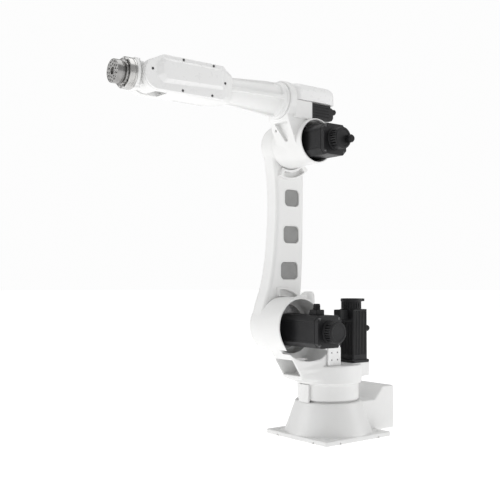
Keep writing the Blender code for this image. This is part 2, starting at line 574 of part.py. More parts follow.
def side_cover(name, sign):
    def span(lo, hi):
        return (lo, hi) if sign > 0 else (-hi, -lo)
    lo, hi = span(CAS_T + GAP, CAS_T + 8)
    plate = prism(cover_outline(0), "Y", lo, hi)
    raised = skin([[(x, sign * (CAS_T + 7.9), FORE_Z + z) for x, z in RAISED_FOOT],
                   [(x, sign * (CAS_T + 18), FORE_Z + z) for x, z in RAISED_FACE]])
    lo, hi = span(CAS_T - 5, CAS_T + 4)
    cuts = [prism(cover_outline(10), "Y", lo, hi)]
    if sign > 0:
        for x, z in SCREWS:
            cuts.append(disc("Y", x, z, 4.2, CAS_T + 5, CAS_T + 30, 8))
    piece(name, "forearm", "cover_white", [plate, raised], cuts)


side_cover("near_side_cover", 1)
side_cover("far_side_cover", -1)
for k, (x, z) in enumerate(SCREWS):
    piece("near_cover_screw_%d" % (k + 1), "forearm", "dark_steel",
          [disc("Y", x, z, 3.8, CAS_T + 5 + GAP, CAS_T + 8.4, 8)])
piece("top_plug", "forearm", "plug_black",
      [disc("Z", 628, 25, 8, FORE_Z + 70 + GAP, FORE_Z + 75, SEG_S, ch=1.5, ch_lo=0)])
piece("j5_motor", "forearm", "motor_black",
      [box(592, 648, -46, 40, FORE_Z - 28, FORE_Z + 28, 3), disc("Y", 620, FORE_Z, 7, 39, 44.6, SEG_S)])
piece("j6_motor", "forearm", "motor_black",
      [box(672, 722, -46, 38, FORE_Z - 25, FORE_Z + 25, 3)])
belt_out = arc(J5_X, FORE_Z, 34.8, -90, 90, 10) + arc(620, FORE_Z, 26.8, 90, 270, 10)
belt_in = arc(J5_X, FORE_Z, 32.8, -90, 90, 10) + arc(620, FORE_Z, 24.8, 90, 270, 10)
piece("j5_belt", "forearm", "belt_rubber",
      [prism(belt_out, "Y", 47, 58)], [prism(belt_in, "Y", 42, 63)])
for tag, lo, hi in (("near", 35 + GAP, 41), ("far", -41, -35 - GAP)):
    piece("j5_bearing_" + tag, "forearm", "steel", [tube("Y", J5_X, FORE_Z, 17.2, 30 - GAP, lo, hi, SEG_S)])
piece("j5_drive_pulley", "belt_drive", "zinc",
      [turned([(0, 45), (28, 45), (28, 46.6), (24, 46.6), (24, 58.4), (28, 58.4), (28, 60), (0, 60)], "Y", 620, FORE_Z, SEG)])

# =============================== wrist ======================================
piece("wrist_body", "wrist", "casting_white",
      [disc("Y", J5_X, FORE_Z, 50, -34, 34, SEG, ch=4),
       turned([(0, J5_X), (44, J5_X), (50, J5_X + 46), (54, J5_X + 58), (54, 898 - GAP), (0, 898 - GAP)], "X", 0, FORE_Z, SEG)],
      [disc("X", 0, FORE_Z, 22, 870, 910, SEG_S), box(700, J5_X + 60, 34, 70, FORE_Z - 80, FORE_Z + 80),
       box(700, J5_X + 60, -70, -34, FORE_Z - 80, FORE_Z + 80),
       disc("Y", J5_X, FORE_Z, 12, 26, 40, SEG_S), disc("Y", J5_X, FORE_Z, 12, -40, -26, SEG_S)])
piece("j5_shaft_near", "wrist", "steel",
      [turned([(0, 26 + GAP), (12 - GAP, 26 + GAP), (12 - GAP, 34 + GAP), (16, 34 + GAP), (16, 44), (10, 44), (10, 61), (0, 61)],
              "Y", J5_X, FORE_Z, SEG_S)])
piece("j5_shaft_far", "wrist", "steel",
      [turned([(0, -26 - GAP), (12 - GAP, -26 - GAP), (12 - GAP, -34 - GAP), (16, -34 - GAP), (16, -56), (0, -56)][::-1],
              "Y", J5_X, FORE_Z, SEG_S)])
piece("j5_driven_pulley", "wrist", "zinc",
      [turned([(10 + GAP, 45), (36, 45), (36, 46.6), (32, 46.6), (32, 58.4), (36, 58.4), (36, 60), (10 + GAP, 60)],
              "Y", J5_X, FORE_Z, SEG)])
piece("j6_housing_ring", "wrist", "steel",
      [turned([(22, 898), (53, 898), (53, 904), (51.5, 905.5), (53, 907), (53, 923), (51, 926 - GAP), (22, 926 - GAP)],
              "X", 0, FORE_Z, SEG)])

# =============================== tool flange ================================
flange_holes = []
for count, pcd, r, depth, phase in ((8, 63.0, 2.6, 12, 0.5),):
    for k in range(count):
        a = 2 * math.pi * (k + phase) / count
        flange_holes.append(disc("X", pcd / 2 * math.cos(a), FORE_Z + pcd / 2 * math.sin(a), r,
                                 FLANGE_X - depth, FLANGE_X + 5, 8))
flange_holes.append(disc("X", 0, FORE_Z, 12.5, FLANGE_X - 6, FLANGE_X + 5, SEG_S))
piece("tool_flange", "tool", "steel",
      [turned([(0, 900), (21.5, 900), (21.5, 926), (45, 926), (45, 934), (35, 936), (35, 943), (39, 944), (39.7, 945),
               (39.7, FLANGE_X - 1), (38.7, FLANGE_X), (0, FLANGE_X)], "X", 0, FORE_Z, SEG)], flange_holes)
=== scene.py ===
"""Looks for the floor-mounted six-axis robot arm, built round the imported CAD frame.

Lengths below are in millimetres in the row frame and become metres when a mesh is made.
"""

import math

import bmesh
import bpy
from mathutils import Matrix, Vector


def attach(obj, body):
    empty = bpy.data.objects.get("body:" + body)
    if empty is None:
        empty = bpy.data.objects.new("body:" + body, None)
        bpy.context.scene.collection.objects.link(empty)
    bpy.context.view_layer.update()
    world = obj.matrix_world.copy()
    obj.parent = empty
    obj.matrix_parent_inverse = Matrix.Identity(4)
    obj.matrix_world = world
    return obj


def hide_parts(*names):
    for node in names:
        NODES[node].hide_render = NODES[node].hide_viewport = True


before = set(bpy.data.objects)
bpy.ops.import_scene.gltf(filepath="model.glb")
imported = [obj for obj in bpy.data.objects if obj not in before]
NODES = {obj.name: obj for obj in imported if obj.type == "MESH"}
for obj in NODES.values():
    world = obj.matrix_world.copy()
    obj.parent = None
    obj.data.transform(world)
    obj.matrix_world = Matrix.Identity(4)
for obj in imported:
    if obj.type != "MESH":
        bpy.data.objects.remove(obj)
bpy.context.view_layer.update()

# ---- dimensions shared with the CAD, mm -------------------------------------
GAP = 0.3
PLATE, PLATE_T = 350.0, 18.0
TURRET_Z0, RING_SPLIT, TURRET_TOP = 147.0, 211.0, 283.0
BOX_X0, BOX_X1, BOX_TOP = -287.0, -222.0, 182.0
J2 = (166.0, 433.0)
J3 = (125.0, 1146.0)
FORE_Z = 1296.0
J5_X = 826.0
FLANGE_X = 964.5
HOUSING_R, HOUSING_BORE = 112.0, 104.0
ARM_Y0, ARM_Y1, ARM_FACE = -165.0, -90.3, -95.0
J2_DROP, J3_DROP = 12.0, 8.0
M1 = (-80.0, 63.0)
M1_Z = 288.0
CAS_T = 58.0


# =============================== materials ===================================
def surface(name, base, alt, rough, metal=0.0, grain=700.0, grain_depth=0.00012, grain_amount=0.35,
            patch=9.0, edge=None, edge_amount=0.0, painted_crease_shade=None, painted_crease_shade_amount=0.0, coat=0.0,
            rings=None, brushed=None, specular=0.5, dust=0.0):
    """A layered painted, moulded or machined surface.

    base and alt are the two colours that drift into each other over patches, rough is the
    roughness range, grain the fine relief, edge what wear leaves on ridges, painted_crease_shade
    the painted shade darkening concave corners and creases, rings the centre of lathe marks,
    brushed the stretch of a brushed finish."""
    mat = bpy.data.materials.new(name)
    mat.use_nodes = True
    mat.diffuse_color = (*base, 1.0)
    nt = mat.node_tree
    bsdf = nt.nodes["Principled BSDF"]

    def node(kind, **values):
        made = nt.nodes.new(kind)
        for key, value in values.items():
            setattr(made, key, value)
        return made

    def link(a, b):
        nt.links.new(a, b)

    coord = node("ShaderNodeTexCoord")

    def noise(scale, detail=2.0, roughness=0.5, vector=None):
        made = node("ShaderNodeTexNoise")
        made.inputs["Scale"].default_value = scale
        made.inputs["Detail"].default_value = detail
        made.inputs["Roughness"].default_value = roughness
        link(vector or coord.outputs["Object"], made.inputs["Vector"])
        return made.outputs["Fac"]

    def span(value, lo, hi, to_lo, to_hi):
        made = node("ShaderNodeMapRange")
        made.inputs["From Min"].default_value = lo
        made.inputs["From Max"].default_value = hi
        made.inputs["To Min"].default_value = to_lo
        made.inputs["To Max"].default_value = to_hi
        link(value, made.inputs["Value"])
        return made.outputs["Result"]

    def mix(fac, a, b):
        made = node("ShaderNodeMix", data_type="RGBA")
        link(fac, made.inputs[0])
        for sock, value in ((made.inputs[6], a), (made.inputs[7], b)):
            if isinstance(value, tuple):
                sock.default_value = (*value, 1.0)
            else:
                link(value, sock)
        return made.outputs[2]

    def times(a, b):
        made = node("ShaderNodeMath", operation="MULTIPLY")
        for sock, value in zip(made.inputs, (a, b)):
            if isinstance(value, (int, float)):
                sock.default_value = value
            else:
                link(value, sock)
        return made.outputs[0]

    broad = noise(patch, 4.0, 0.6)
    cloudy = noise(patch * 7.0, 5.0, 0.65)
    colour = mix(span(broad, 0.35, 0.65, 0.0, 1.0), base, alt)
    colour = mix(span(cloudy, 0.42, 0.72, 0.0, 0.35), colour, alt)
    if edge is not None or painted_crease_shade is not None:
        geo = node("ShaderNodeNewGeometry")
        broken = noise(120.0, 3.0, 0.7)
        if edge is not None:
            ridge = span(geo.outputs["Pointiness"], 0.515, 0.60, 0.0, 1.0)
            ridge = times(ridge, span(broken, 0.38, 0.66, 0.0, edge_amount))
            colour = mix(ridge, colour, edge)
        # painted shade: concave creases and corners (low Pointiness) are darkened towards this colour, broken up by
        # noise
        if painted_crease_shade is not None:
            painted_crease_shade_mask = span(geo.outputs["Pointiness"], 0.488, 0.42, 0.0, 1.0)
            painted_crease_shade_mask = times(painted_crease_shade_mask, span(broken, 0.3, 0.7, 0.35 * painted_crease_shade_amount, painted_crease_shade_amount))
            colour = mix(painted_crease_shade_mask, colour, painted_crease_shade)
    if dust:
        geo2 = node("ShaderNodeNewGeometry")
        split = node("ShaderNodeSeparateXYZ")
        link(geo2.outputs["Normal"], split.inputs[0])
        up = span(split.outputs["Z"], 0.55, 1.0, 0.0, 1.0)
        speck = span(noise(260.0, 4.0, 0.7), 0.5, 0.75, 0.2 * dust, dust)
        colour = mix(times(up, speck), colour, (0.42, 0.40, 0.37))
    link(colour, bsdf.inputs["Base Color"])

    smudge = noise(38.0, 6.0, 0.62)
    link(span(smudge, 0.3, 0.72, rough[0], rough[1]), bsdf.inputs["Roughness"])
    bsdf.inputs["Metallic"].default_value = metal
    bsdf.inputs["Specular IOR Level"].default_value = specular
    if coat:
        bsdf.inputs["Coat Weight"].default_value = coat
        bsdf.inputs["Coat Roughness"].default_value = 0.18

    height = noise(grain, 3.0, 0.55)
    if rings is not None:
        shift = node("ShaderNodeMapping")
        shift.inputs["Location"].default_value = tuple(-c * 0.001 for c in rings)
        link(coord.outputs["Object"], shift.inputs["Vector"])
        wave = node("ShaderNodeTexWave", wave_type="RINGS", rings_direction="X", wave_profile="SIN")
        wave.inputs["Scale"].default_value = 420.0
        wave.inputs["Distortion"].default_value = 1.5
        wave.inputs["Detail"].default_value = 3.0
        wave.inputs["Detail Scale"].default_value = 2.0
        link(shift.outputs["Vector"], wave.inputs["Vector"])
        height = wave.outputs["Fac"]
    if brushed is not None:
        stretch = node("ShaderNodeMapping")
        stretch.inputs["Scale"].default_value = brushed
        link(coord.outputs["Object"], stretch.inputs["Vector"])
        height = noise(grain, 4.0, 0.6, stretch.outputs["Vector"])
    bump = node("ShaderNodeBump")
    bump.inputs["Strength"].default_value = grain_amount
    bump.inputs["Distance"].default_value = grain_depth
    link(height, bump.inputs["Height"])
    link(bump.outputs["Normal"], bsdf.inputs["Normal"])
    return mat


MAT = {
    # satin paint over a fine cast skin
    "casting": surface("casting_paint", (0.80, 0.80, 0.795), (0.765, 0.765, 0.757), (0.30, 0.46), grain=620.0,
                       grain_depth=0.00035, grain_amount=0.30, patch=5.0, edge=(0.86, 0.86, 0.85), edge_amount=0.6,
                       painted_crease_shade=(0.42, 0.41, 0.39), painted_crease_shade_amount=0.45, coat=0.12, dust=0.10),
    # moulded covers, smoother and a touch brighter
    "cover": surface("moulded_cover", (0.83, 0.83, 0.828), (0.80, 0.80, 0.796), (0.24, 0.36), grain=1300.0,
                     grain_depth=0.0001, grain_amount=0.22, patch=4.0, edge=(0.88, 0.88, 0.875), edge_amount=0.5,
                     painted_crease_shade=(0.5, 0.49, 0.47), painted_crease_shade_amount=0.35, coat=0.2, dust=0.06),
    "motor": surface("motor_housing", (0.0105, 0.0105, 0.0115), (0.0145, 0.0145, 0.0155), (0.34, 0.50), grain=900.0,
                     grain_depth=0.0002, grain_amount=0.4, patch=14.0, edge=(0.055, 0.055, 0.058), edge_amount=0.5,
                     painted_crease_shade=(0.004, 0.004, 0.005), painted_crease_shade_amount=0.5, dust=0.02, specular=0.22),
    "cap": surface("encoder_cap", (0.0115, 0.0115, 0.0125), (0.0155, 0.0155, 0.0165), (0.38, 0.58), grain=1500.0,
                   grain_depth=0.00012, grain_amount=0.5, patch=20.0, edge=(0.045, 0.045, 0.048), edge_amount=0.4,
                   painted_crease_shade=(0.003, 0.003, 0.004), painted_crease_shade_amount=0.4, dust=0.02, specular=0.22),
    "plug": surface("connector_plastic", (0.009, 0.009, 0.010), (0.013, 0.013, 0.014), (0.42, 0.62), grain=1800.0,
                    grain_depth=0.00008, grain_amount=0.5, patch=30.0, edge=(0.04, 0.04, 0.043), edge_amount=0.4,
                    dust=0.02, specular=0.22),
    "window": surface("blank_plate", (0.262, 0.262, 0.258), (0.235, 0.235, 0.231), (0.40, 0.55), grain=1000.0,
                      grain_depth=0.00012, grain_amount=0.4, patch=22.0, edge=(0.42, 0.42, 0.41), edge_amount=0.5,
                      painted_crease_shade=(0.12, 0.12, 0.115), painted_crease_shade_amount=0.5),
    "pocket": surface("pocket_grey", (0.40, 0.40, 0.395), (0.36, 0.36, 0.355), (0.45, 0.6), grain=800.0,
                      grain_depth=0.0002, grain_amount=0.4, patch=22.0),
    "steel": surface("turned_steel", (0.34, 0.336, 0.33), (0.28, 0.276, 0.27), (0.17, 0.30), metal=1.0,
                     grain_depth=0.00005, grain_amount=0.5, patch=26.0, edge=(0.72, 0.71, 0.70), edge_amount=0.5,
                     painted_crease_shade=(0.10, 0.095, 0.09), painted_crease_shade_amount=0.6, rings=(0.0, 0.0, FORE_Z)),
    # painted highlight: a lighter copy of the turned steel above, so the ring's side reads as catching bright
    # reflections
    "ring_steel_painted_highlight": surface("ring_steel_painted_highlight", (0.56, 0.555, 0.545), (0.47, 0.465, 0.455), (0.18, 0.30), metal=1.0,
                          grain_depth=0.00004, grain_amount=0.4, patch=26.0, edge=(0.85, 0.84, 0.83), edge_amount=0.5,
                          painted_crease_shade=(0.10, 0.095, 0.09), painted_crease_shade_amount=0.6, rings=(0.0, 0.0, FORE_Z)),
    "bolt": surface("bolt_steel", (0.15, 0.15, 0.155), (0.11, 0.11, 0.115), (0.30, 0.45), metal=1.0, grain=2500.0,
                    grain_depth=0.00005, grain_amount=0.4, patch=60.0, edge=(0.40, 0.39, 0.38), edge_amount=0.6),
    "dark_steel": surface("oiled_steel", (0.16, 0.16, 0.165), (0.12, 0.12, 0.125), (0.28, 0.44), metal=1.0,
                          grain=900.0, grain_depth=0.00006, grain_amount=0.4, patch=18.0, brushed=(1.0, 12.0, 1.0),
                          edge=(0.36, 0.35, 0.34), edge_amount=0.5, painted_crease_shade=(0.03, 0.03, 0.03), painted_crease_shade_amount=0.5),
    "zinc": surface("zinc_plate", (0.45, 0.45, 0.46), (0.40, 0.40, 0.42), (0.28, 0.42), metal=1.0, grain=1200.0,
                    grain_depth=0.00005, patch=40.0, edge=(0.62, 0.62, 0.64), edge_amount=0.4),
    "rubber": surface("belt_rubber", (0.018, 0.018, 0.018), (0.030, 0.030, 0.029), (0.68, 0.86), grain=1600.0,
                      grain_depth=0.0002, grain_amount=0.6, patch=50.0),
    "contact": surface("contact_brass", (0.62, 0.47, 0.22), (0.55, 0.40, 0.18), (0.25, 0.4), metal=1.0, grain=2500.0,
                       grain_depth=0.00003, patch=90.0),
}


# =============================== outlines ====================================
def arc(cx, cy, r, a0, a1, n):
    out = []
    for i in range(n + 1):
        a = math.radians(a0 + (a1 - a0) * i / n)
        out.append((cx + r * math.cos(a), cy + r * math.sin(a)))
    return out


def rrect(x0, x1, y0, y1, r, n=6):
    r = min(r, (x1 - x0) / 2 - 0.01, (y1 - y0) / 2 - 0.01)
    return (
        arc(x1 - r, y0 + r, r, -90, 0, n)
        + arc(x1 - r, y1 - r, r, 0, 90, n)
        + arc(x0 + r, y1 - r, r, 90, 180, n)
        + arc(x0 + r, y0 + r, r, 180, 270, n)
    )


def chrect(x0, x1, y0, y1, c):
    return [
        (x0 + c, y0), (x1 - c, y0), (x1, y0 + c), (x1, y1 - c),
        (x1 - c, y1), (x0 + c, y1), (x0, y1 - c), (x0, y0 + c),
    ]


def soften(points, r, n=4):
    """Rounds the corners of a closed outline; r is one radius or one for each corner."""
    out = []
    count = len(points)
    for i, p in enumerate(points):
        a, b = points[i - 1], points[(i + 1) % count]
        want = r[i] if isinstance(r, (list, tuple)) else r
        v1 = Vector((a[0] - p[0], a[1] - p[1]))
        v2 = Vector((b[0] - p[0], b[1] - p[1]))
        l1, l2 = v1.length, v2.length
        if want <= 0 or l1 < 1e-6 or l2 < 1e-6:
            out.append(p)
            continue
        v1 /= l1
        v2 /= l2
        opening = math.acos(max(-1.0, min(1.0, v1.dot(v2))))
        if opening > math.radians(172) or opening < math.radians(4):
            out.append(p)
            continue
        t = min(want / math.tan(opening / 2), 0.46 * l1, 0.46 * l2)
        rr = t * math.tan(opening / 2)
        mid = (v1 + v2).normalized() * (rr / math.sin(opening / 2))
        c = Vector((p[0] + mid.x, p[1] + mid.y))
        s = Vector((p[0] + v1.x * t, p[1] + v1.y * t)) - c
        e = Vector((p[0] + v2.x * t, p[1] + v2.y * t)) - c
        a0 = math.atan2(s.y, s.x)
        a1 = math.atan2(e.y, e.x)
        sweep = (a1 - a0 + math.pi) % (2 * math.pi) - math.pi
        for k in range(n + 1):
            ang = a0 + sweep * k / n
            out.append((c.x + rr * math.cos(ang), c.y + rr * math.sin(ang)))
    return out


def place(axis, a, b, t):
    if axis == "X":
        return (t, a, b)
    if axis == "Y":
        return (a, t, b)
    return (a, b, t)


# =============================== closed shapes ===============================
def close(bm):
    bmesh.ops.recalc_face_normals(bm, faces=bm.faces)
    if bm.calc_volume(signed=True) < 0:
        bmesh.ops.reverse_faces(bm, faces=bm.faces)
    return bm


def prism(points, axis, lo, hi, bevel=0.0, cap=None, steps=3):
    bm = bmesh.new()
    low = [bm.verts.new(place(axis, a, b, lo)) for a, b in points]
    high = [bm.verts.new(place(axis, a, b, hi)) for a, b in points]
    bm.faces.new(low)
    bm.faces.new(high[::-1])
    n = len(points)
    for i in range(n):
        j = (i + 1) % n
        bm.faces.new((low[i], low[j], high[j], high[i]))
    close(bm)
    if bevel:
        ends = []
        for ring, which in ((low, "lo"), (high, "hi")):
            if cap and cap != which:
                continue
            for i in range(n):
                ends.append(bm.edges.get((ring[i], ring[(i + 1) % n])))
        bmesh.ops.bevel(bm, geom=ends, offset=bevel, offset_type="OFFSET", segments=steps,
                        profile=0.5, affect="EDGES", clamp_overlap=True)
        close(bm)
    return bm


def box(x0, x1, y0, y1, z0, z1, bevel=0.0, steps=3):
    bm = prism([(x0, y0), (x1, y0), (x1, y1), (x0, y1)], "Z", z0, z1)
    if bevel:
        bmesh.ops.bevel(bm, geom=list(bm.edges), offset=bevel, offset_type="OFFSET", segments=steps,
                        profile=0.5, affect="EDGES", clamp_overlap=True)
        close(bm)
    return bm


def turned(profile, axis, ca, cb, n=96, r=0.0, steps=4):
    """A (radius, distance) profile turned about an axis, its corners rounded by r."""
    if r:
        profile = soften(profile, [0.0 if p[0] < 1e-6 else r for p in profile] if not isinstance(r, list) else r, steps)
    bm = bmesh.new()
    solid = profile[0][0] < 1e-6
    if solid:
        profile = [p for p in profile if p[0] > 1e-6]
    rings = []
    for rad, t in profile:
        rings.append([
            bm.verts.new(place(axis, ca + rad * math.cos(2 * math.pi * (k + 0.5) / n),
                               cb + rad * math.sin(2 * math.pi * (k + 0.5) / n), t))
            for k in range(n)
        ])
    pairs = list(zip(rings, rings[1:]))
    if solid:
        bm.faces.new(rings[0])
        bm.faces.new(rings[-1][::-1])
    else:
        pairs.append((rings[-1], rings[0]))
    for one, two in pairs:
        for k in range(n):
            m = (k + 1) % n
            bm.faces.new((one[k], one[m], two[m], two[k]))
    return close(bm)


def disc(axis, ca, cb, r, lo, hi, n=96, ch=0.0):
    profile = [(0, lo), (r, lo), (r, hi), (0, hi)]
    return turned(profile, axis, ca, cb, n, r=ch, steps=3) if ch else turned(profile, axis, ca, cb, n)


def skin(sections):
    bm = bmesh.new()
    rings = [[bm.verts.new(p) for p in ring] for ring in sections]
    n = len(rings[0])
    bm.faces.new(rings[0])
    bm.faces.new(rings[-1][::-1])
    for one, two in zip(rings, rings[1:]):
        for k in range(n):
            m = (k + 1) % n
            bm.faces.new((one[k], one[m], two[m], two[k]))
    return close(bm)


def glide(rows, t):
    """Rows of (t, value, value, ...) read at t along a smooth curve through them."""
    rows = sorted(rows)
    if t <= rows[0][0]:
        return rows[0][1:]
    if t >= rows[-1][0]:
        return rows[-1][1:]
    for i in range(len(rows) - 1):
        if rows[i][0] <= t <= rows[i + 1][0]:
            p0, p1, p2, p3 = rows[max(i - 1, 0)], rows[i], rows[i + 1], rows[min(i + 2, len(rows) - 1)]
            h = p2[0] - p1[0]
            u = (t - p1[0]) / h
            out = []
            for k in range(1, len(p1)):
                m1 = (p2[k] - p0[k]) / (p2[0] - p0[0]) * h if p2[0] != p0[0] else 0.0
                m2 = (p3[k] - p1[k]) / (p3[0] - p1[0]) * h if p3[0] != p1[0] else 0.0
                out.append((2 * u**3 - 3 * u**2 + 1) * p1[k] + (u**3 - 2 * u**2 + u) * m1
                           + (-2 * u**3 + 3 * u**2) * p2[k] + (u**3 - u**2) * m2)
            return tuple(out)


# =============================== building pieces =============================
def to_object(bm, name):
    mesh = bpy.data.meshes.new(name)
    for v in bm.verts:
        v.co *= 0.001
    bm.to_mesh(mesh)
    bm.free()
    obj = bpy.data.objects.new(name, mesh)
    bpy.context.scene.collection.objects.link(obj)
    return obj


def bake(obj):
    bpy.context.view_layer.update()
    graph = bpy.context.evaluated_depsgraph_get()
    mesh = bpy.data.meshes.new_from_object(obj.evaluated_get(graph))
    obj.modifiers.clear()
    obj.data = mesh


def boolean(obj, tool, operation):
    mod = obj.modifiers.new("shape", "BOOLEAN")
    mod.operation = operation
    mod.solver = "EXACT"
    mod.object = tool
    bake(obj)


def span_of(obj):
    pts = [v.co for v in obj.data.vertices]
    return [min(p[i] for p in pts) for i in range(3)], [max(p[i] for p in pts) for i in range(3)]


def meets(a, b):
    return all(a[0][i] < b[1][i] and b[0][i] < a[1][i] for i in range(3))


def drop(obj):
    mesh = obj.data
    bpy.data.objects.remove(obj, do_unlink=True)
    if mesh.users == 0:
        bpy.data.meshes.remove(mesh)


def hand_over(obj, name, body, material, nodes):
    obj.name = name
    obj.data.name = name
    obj.data.materials.clear()
    obj.data.materials.append(MAT[material])
    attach(obj, body)
    if nodes:
        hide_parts(*nodes)
    return obj


def volume(mesh):
    bm = bmesh.new()
    bm.from_mesh(mesh)
    value = abs(bm.calc_volume(signed=True))
    bm.free()
    return value


def carve(obj, cutter):
    """Takes a cutter out of a lump. What is left and what came out have to add up to the lump;
    if they do not, the cutter is nudged by a hundredth of a millimetre and it is done again."""
    before = volume(obj.data)
    start = obj.data
    for nudge in range(6):
        obj.data = start.copy()
        boolean(obj, cutter, "DIFFERENCE")
        left = obj.data
        obj.data = start.copy()
        boolean(obj, cutter, "INTERSECT")
        out = volume(obj.data)
        obj.data = left
        if abs(volume(left) + out - before) < 0.002 * before + 2e-8:
            return
        for v in cutter.data.vertices:
            v.co.x += 0.000013 * (nudge + 1)
            v.co.y += 0.000007 * (nudge + 1)
            v.co.z += 0.000011 * (nudge + 1)
    print("CARVE did not add up:", obj.name, cutter.name)


def cast(name, body, material, nodes, adds, cuts=(), voxel=2.0, rounds=4, factor=0.5):
    """A casting: overlapping closed shapes fused, with every edge and corner flowing into the next."""
    cutters = [to_object(c, "cutter") for c in cuts]
    spans = [span_of(c) for c in cutters]
    whole = bmesh.new()
    for bm in adds:
        own = None
        if isinstance(bm, tuple):
            bm, own = bm
        obj = to_object(bm, "lump")
        if own is not None:
            for part in own:
                tool = to_object(part, "own_cutter")
                carve(obj, tool)
                drop(tool)
            whole.from_mesh(obj.data)
            drop(obj)
            continue
        for cutter, where in zip(cutters, spans):
            if obj.data.vertices and meets(span_of(obj), where):
                carve(obj, cutter)
        whole.from_mesh(obj.data)
        drop(obj)
    for cutter in cutters:
        drop(cutter)
    mesh = bpy.data.meshes.new(name)
    whole.to_mesh(mesh)
    whole.free()
    obj = bpy.data.objects.new(name, mesh)
    bpy.context.scene.collection.objects.link(obj)
    fuse = obj.modifiers.new("fuse", "REMESH")
    fuse.mode = "VOXEL"
    fuse.voxel_size = voxel * 0.001
    fuse.adaptivity = 0.0
    if rounds:
        smooth = obj.modifiers.new("soften", "SMOOTH")
        smooth.factor = factor
        smooth.iterations = rounds
    bake(obj)
    obj.data.shade_smooth()
    return hand_over(obj, name, body, material, nodes)


def made(name, body, slot, material, nodes, adds, cuts=(), angle=32):
    """A machined, moulded or pressed piece with crisp, finely bevelled edges."""
    obj = to_object(adds[0], name)
    for bm in adds[1:]:
        tool = to_object(bm, "tool")
        boolean(obj, tool, "UNION")
        drop(tool)
    for bm in cuts:
        tool = to_object(bm, "tool")
        boolean(obj, tool, "DIFFERENCE")
        drop(tool)
    work = bmesh.new()
    work.from_mesh(obj.data)
    bmesh.ops.remove_doubles(work, verts=work.verts, dist=2e-6)
    work.to_mesh(obj.data)
    work.free()
    obj.data.shade_smooth()
    obj.data.set_sharp_from_angle(angle=math.radians(angle))
    flat = obj.modifiers.new("even_normals", "WEIGHTED_NORMAL")
    flat.keep_sharp = True
    flat.weight = 80
    return hand_over(obj, name, body, material, nodes)


def group(name, body, material, nodes, solids, angle=32):
    """Identical fasteners in one piece, as separate solids."""
    whole = bmesh.new()
    for obj in solids:
        whole.from_mesh(obj.data)
        drop(obj)
    mesh = bpy.data.meshes.new(name)
    whole.to_mesh(mesh)
    whole.free()
    obj = bpy.data.objects.new(name, mesh)
    bpy.context.scene.collection.objects.link(obj)
    obj.data.shade_smooth()
    obj.data.set_sharp_from_angle(angle=math.radians(angle))
    flat = obj.modifiers.new("even_normals", "WEIGHTED_NORMAL")
    flat.keep_sharp = True
    return hand_over(obj, name, body, material, nodes)


def socket_screw(axis, ca, cb, base, r, height, sign=1, n=28):
    """A cap screw head with a hexagon socket; base is where the head sits on its seat."""
    top = base + sign * height
    lo, hi = sorted((base, top))
    prof = [(0, base), (r, base), (r, top), (0, top)]
    head = to_object(turned(prof, axis, ca, cb, n, r=[0, 0, min(0.22 * r, 0.8), 0], steps=3), "screw")
    hexagon = [(ca + 0.5 * r * math.cos(math.radians(60 * k + 15)), cb + 0.5 * r * math.sin(math.radians(60 * k + 15)))
               for k in range(6)]
    deep = top - sign * min(0.7 * r, 0.75 * height)
    lo, hi = sorted((deep, top + sign * 2))
    tool = to_object(prism(hexagon, axis, lo, hi), "socket")
    boolean(head, tool, "DIFFERENCE")
    drop(tool)
    return head


def ring_of(count, radius, ca, cb, phase=0.0):
    return [(ca + radius * math.cos(2 * math.pi * (k + phase) / count),
             cb + radius * math.sin(2 * math.pi * (k + phase) / count)) for k in range(count)]


# =============================== base ========================================
holes = []
for sx in (-1, 1):
    for sy in (-1, 1):
        holes.append(turned([(0, -5), (9, -5), (9, 13), (14, 13), (14, 60), (0, 60)], "Z", sx * 133, sy * 133, 48))
notches = []
for s in (-1, 1):
    for at in (-102, 102):
        notches.append(disc("X", at, 4.5, 4.2, s * 175 - 9, s * 175 + 9, 24))
        notches.append(disc("Y", at, 4.5, 4.2, s * 175 - 9, s * 175 + 9, 24))
cone = turned([(0, 6), (173, 6), (172, 20), (171, 24), (130.8, 136), (127, 140), (112, 140), (112, 146.7), (0, 146.7)],
              "Z", 0, 0, 128, r=[0, 0, 2, 5, 4, 3, 0, 1, 0])
rear_box = prism(soften([(BOX_X0, 8), (-80, 8), (-80, 132), (-174, 132), (BOX_X1, BOX_TOP), (BOX_X0, BOX_TOP)],
                        [0, 0, 0, 9, 6, 7], 5), "Y", -90, 90, bevel=6, steps=4)
cast("base_casting_shell", "base", "casting", ["base_casting"],
     [prism(rrect(-175, 175, -175, 175, 10, 6), "Z", 0, PLATE_T, bevel=1.6), cone, rear_box],
     holes + notches + [
         box(BOX_X0 - 5, BOX_X0 + 6, -70, 70, 32, 162),
         box(BOX_X0 + 4, -200, -60, 60, 40, 154),
         disc("Z", 0, 0, 100, 60, 170, 96),
     ], voxel=2.0, rounds=4)
made("connector_panel", "base", "dark_steel", "dark_steel", ["base_connector_panel"],
     [prism(rrect(-70 + GAP, 70 - GAP, 32 + GAP, 162 - GAP, 3), "X", BOX_X0 + 1, BOX_X0 + 6 - GAP, bevel=0.6)],
     [box(BOX_X0 - 5, BOX_X0 + 10, -50, -6, 84, 138), disc("X", 32, 112, 17, BOX_X0 - 5, BOX_X0 + 10, 64)])
group("connector_panel_screws", "base", "bolt", [],
      [socket_screw("X", y, z, BOX_X0 + 1.1, 4.0, 2.6, -1) for y in (-62, 62) for z in (40, 154)])
made("power_inlet_shell", "base", "plug_black", "plug", ["power_connector"],
     [prism(rrect(-50 + GAP, -6 - GAP, 84 + GAP, 138 - GAP, 5), "X", BOX_X0 - 9, BOX_X0 + 30, bevel=1.2)],
     [prism(rrect(-42, -14, 92, 130, 3), "X", BOX_X0 - 20, BOX_X0 - 2)])
pins = []
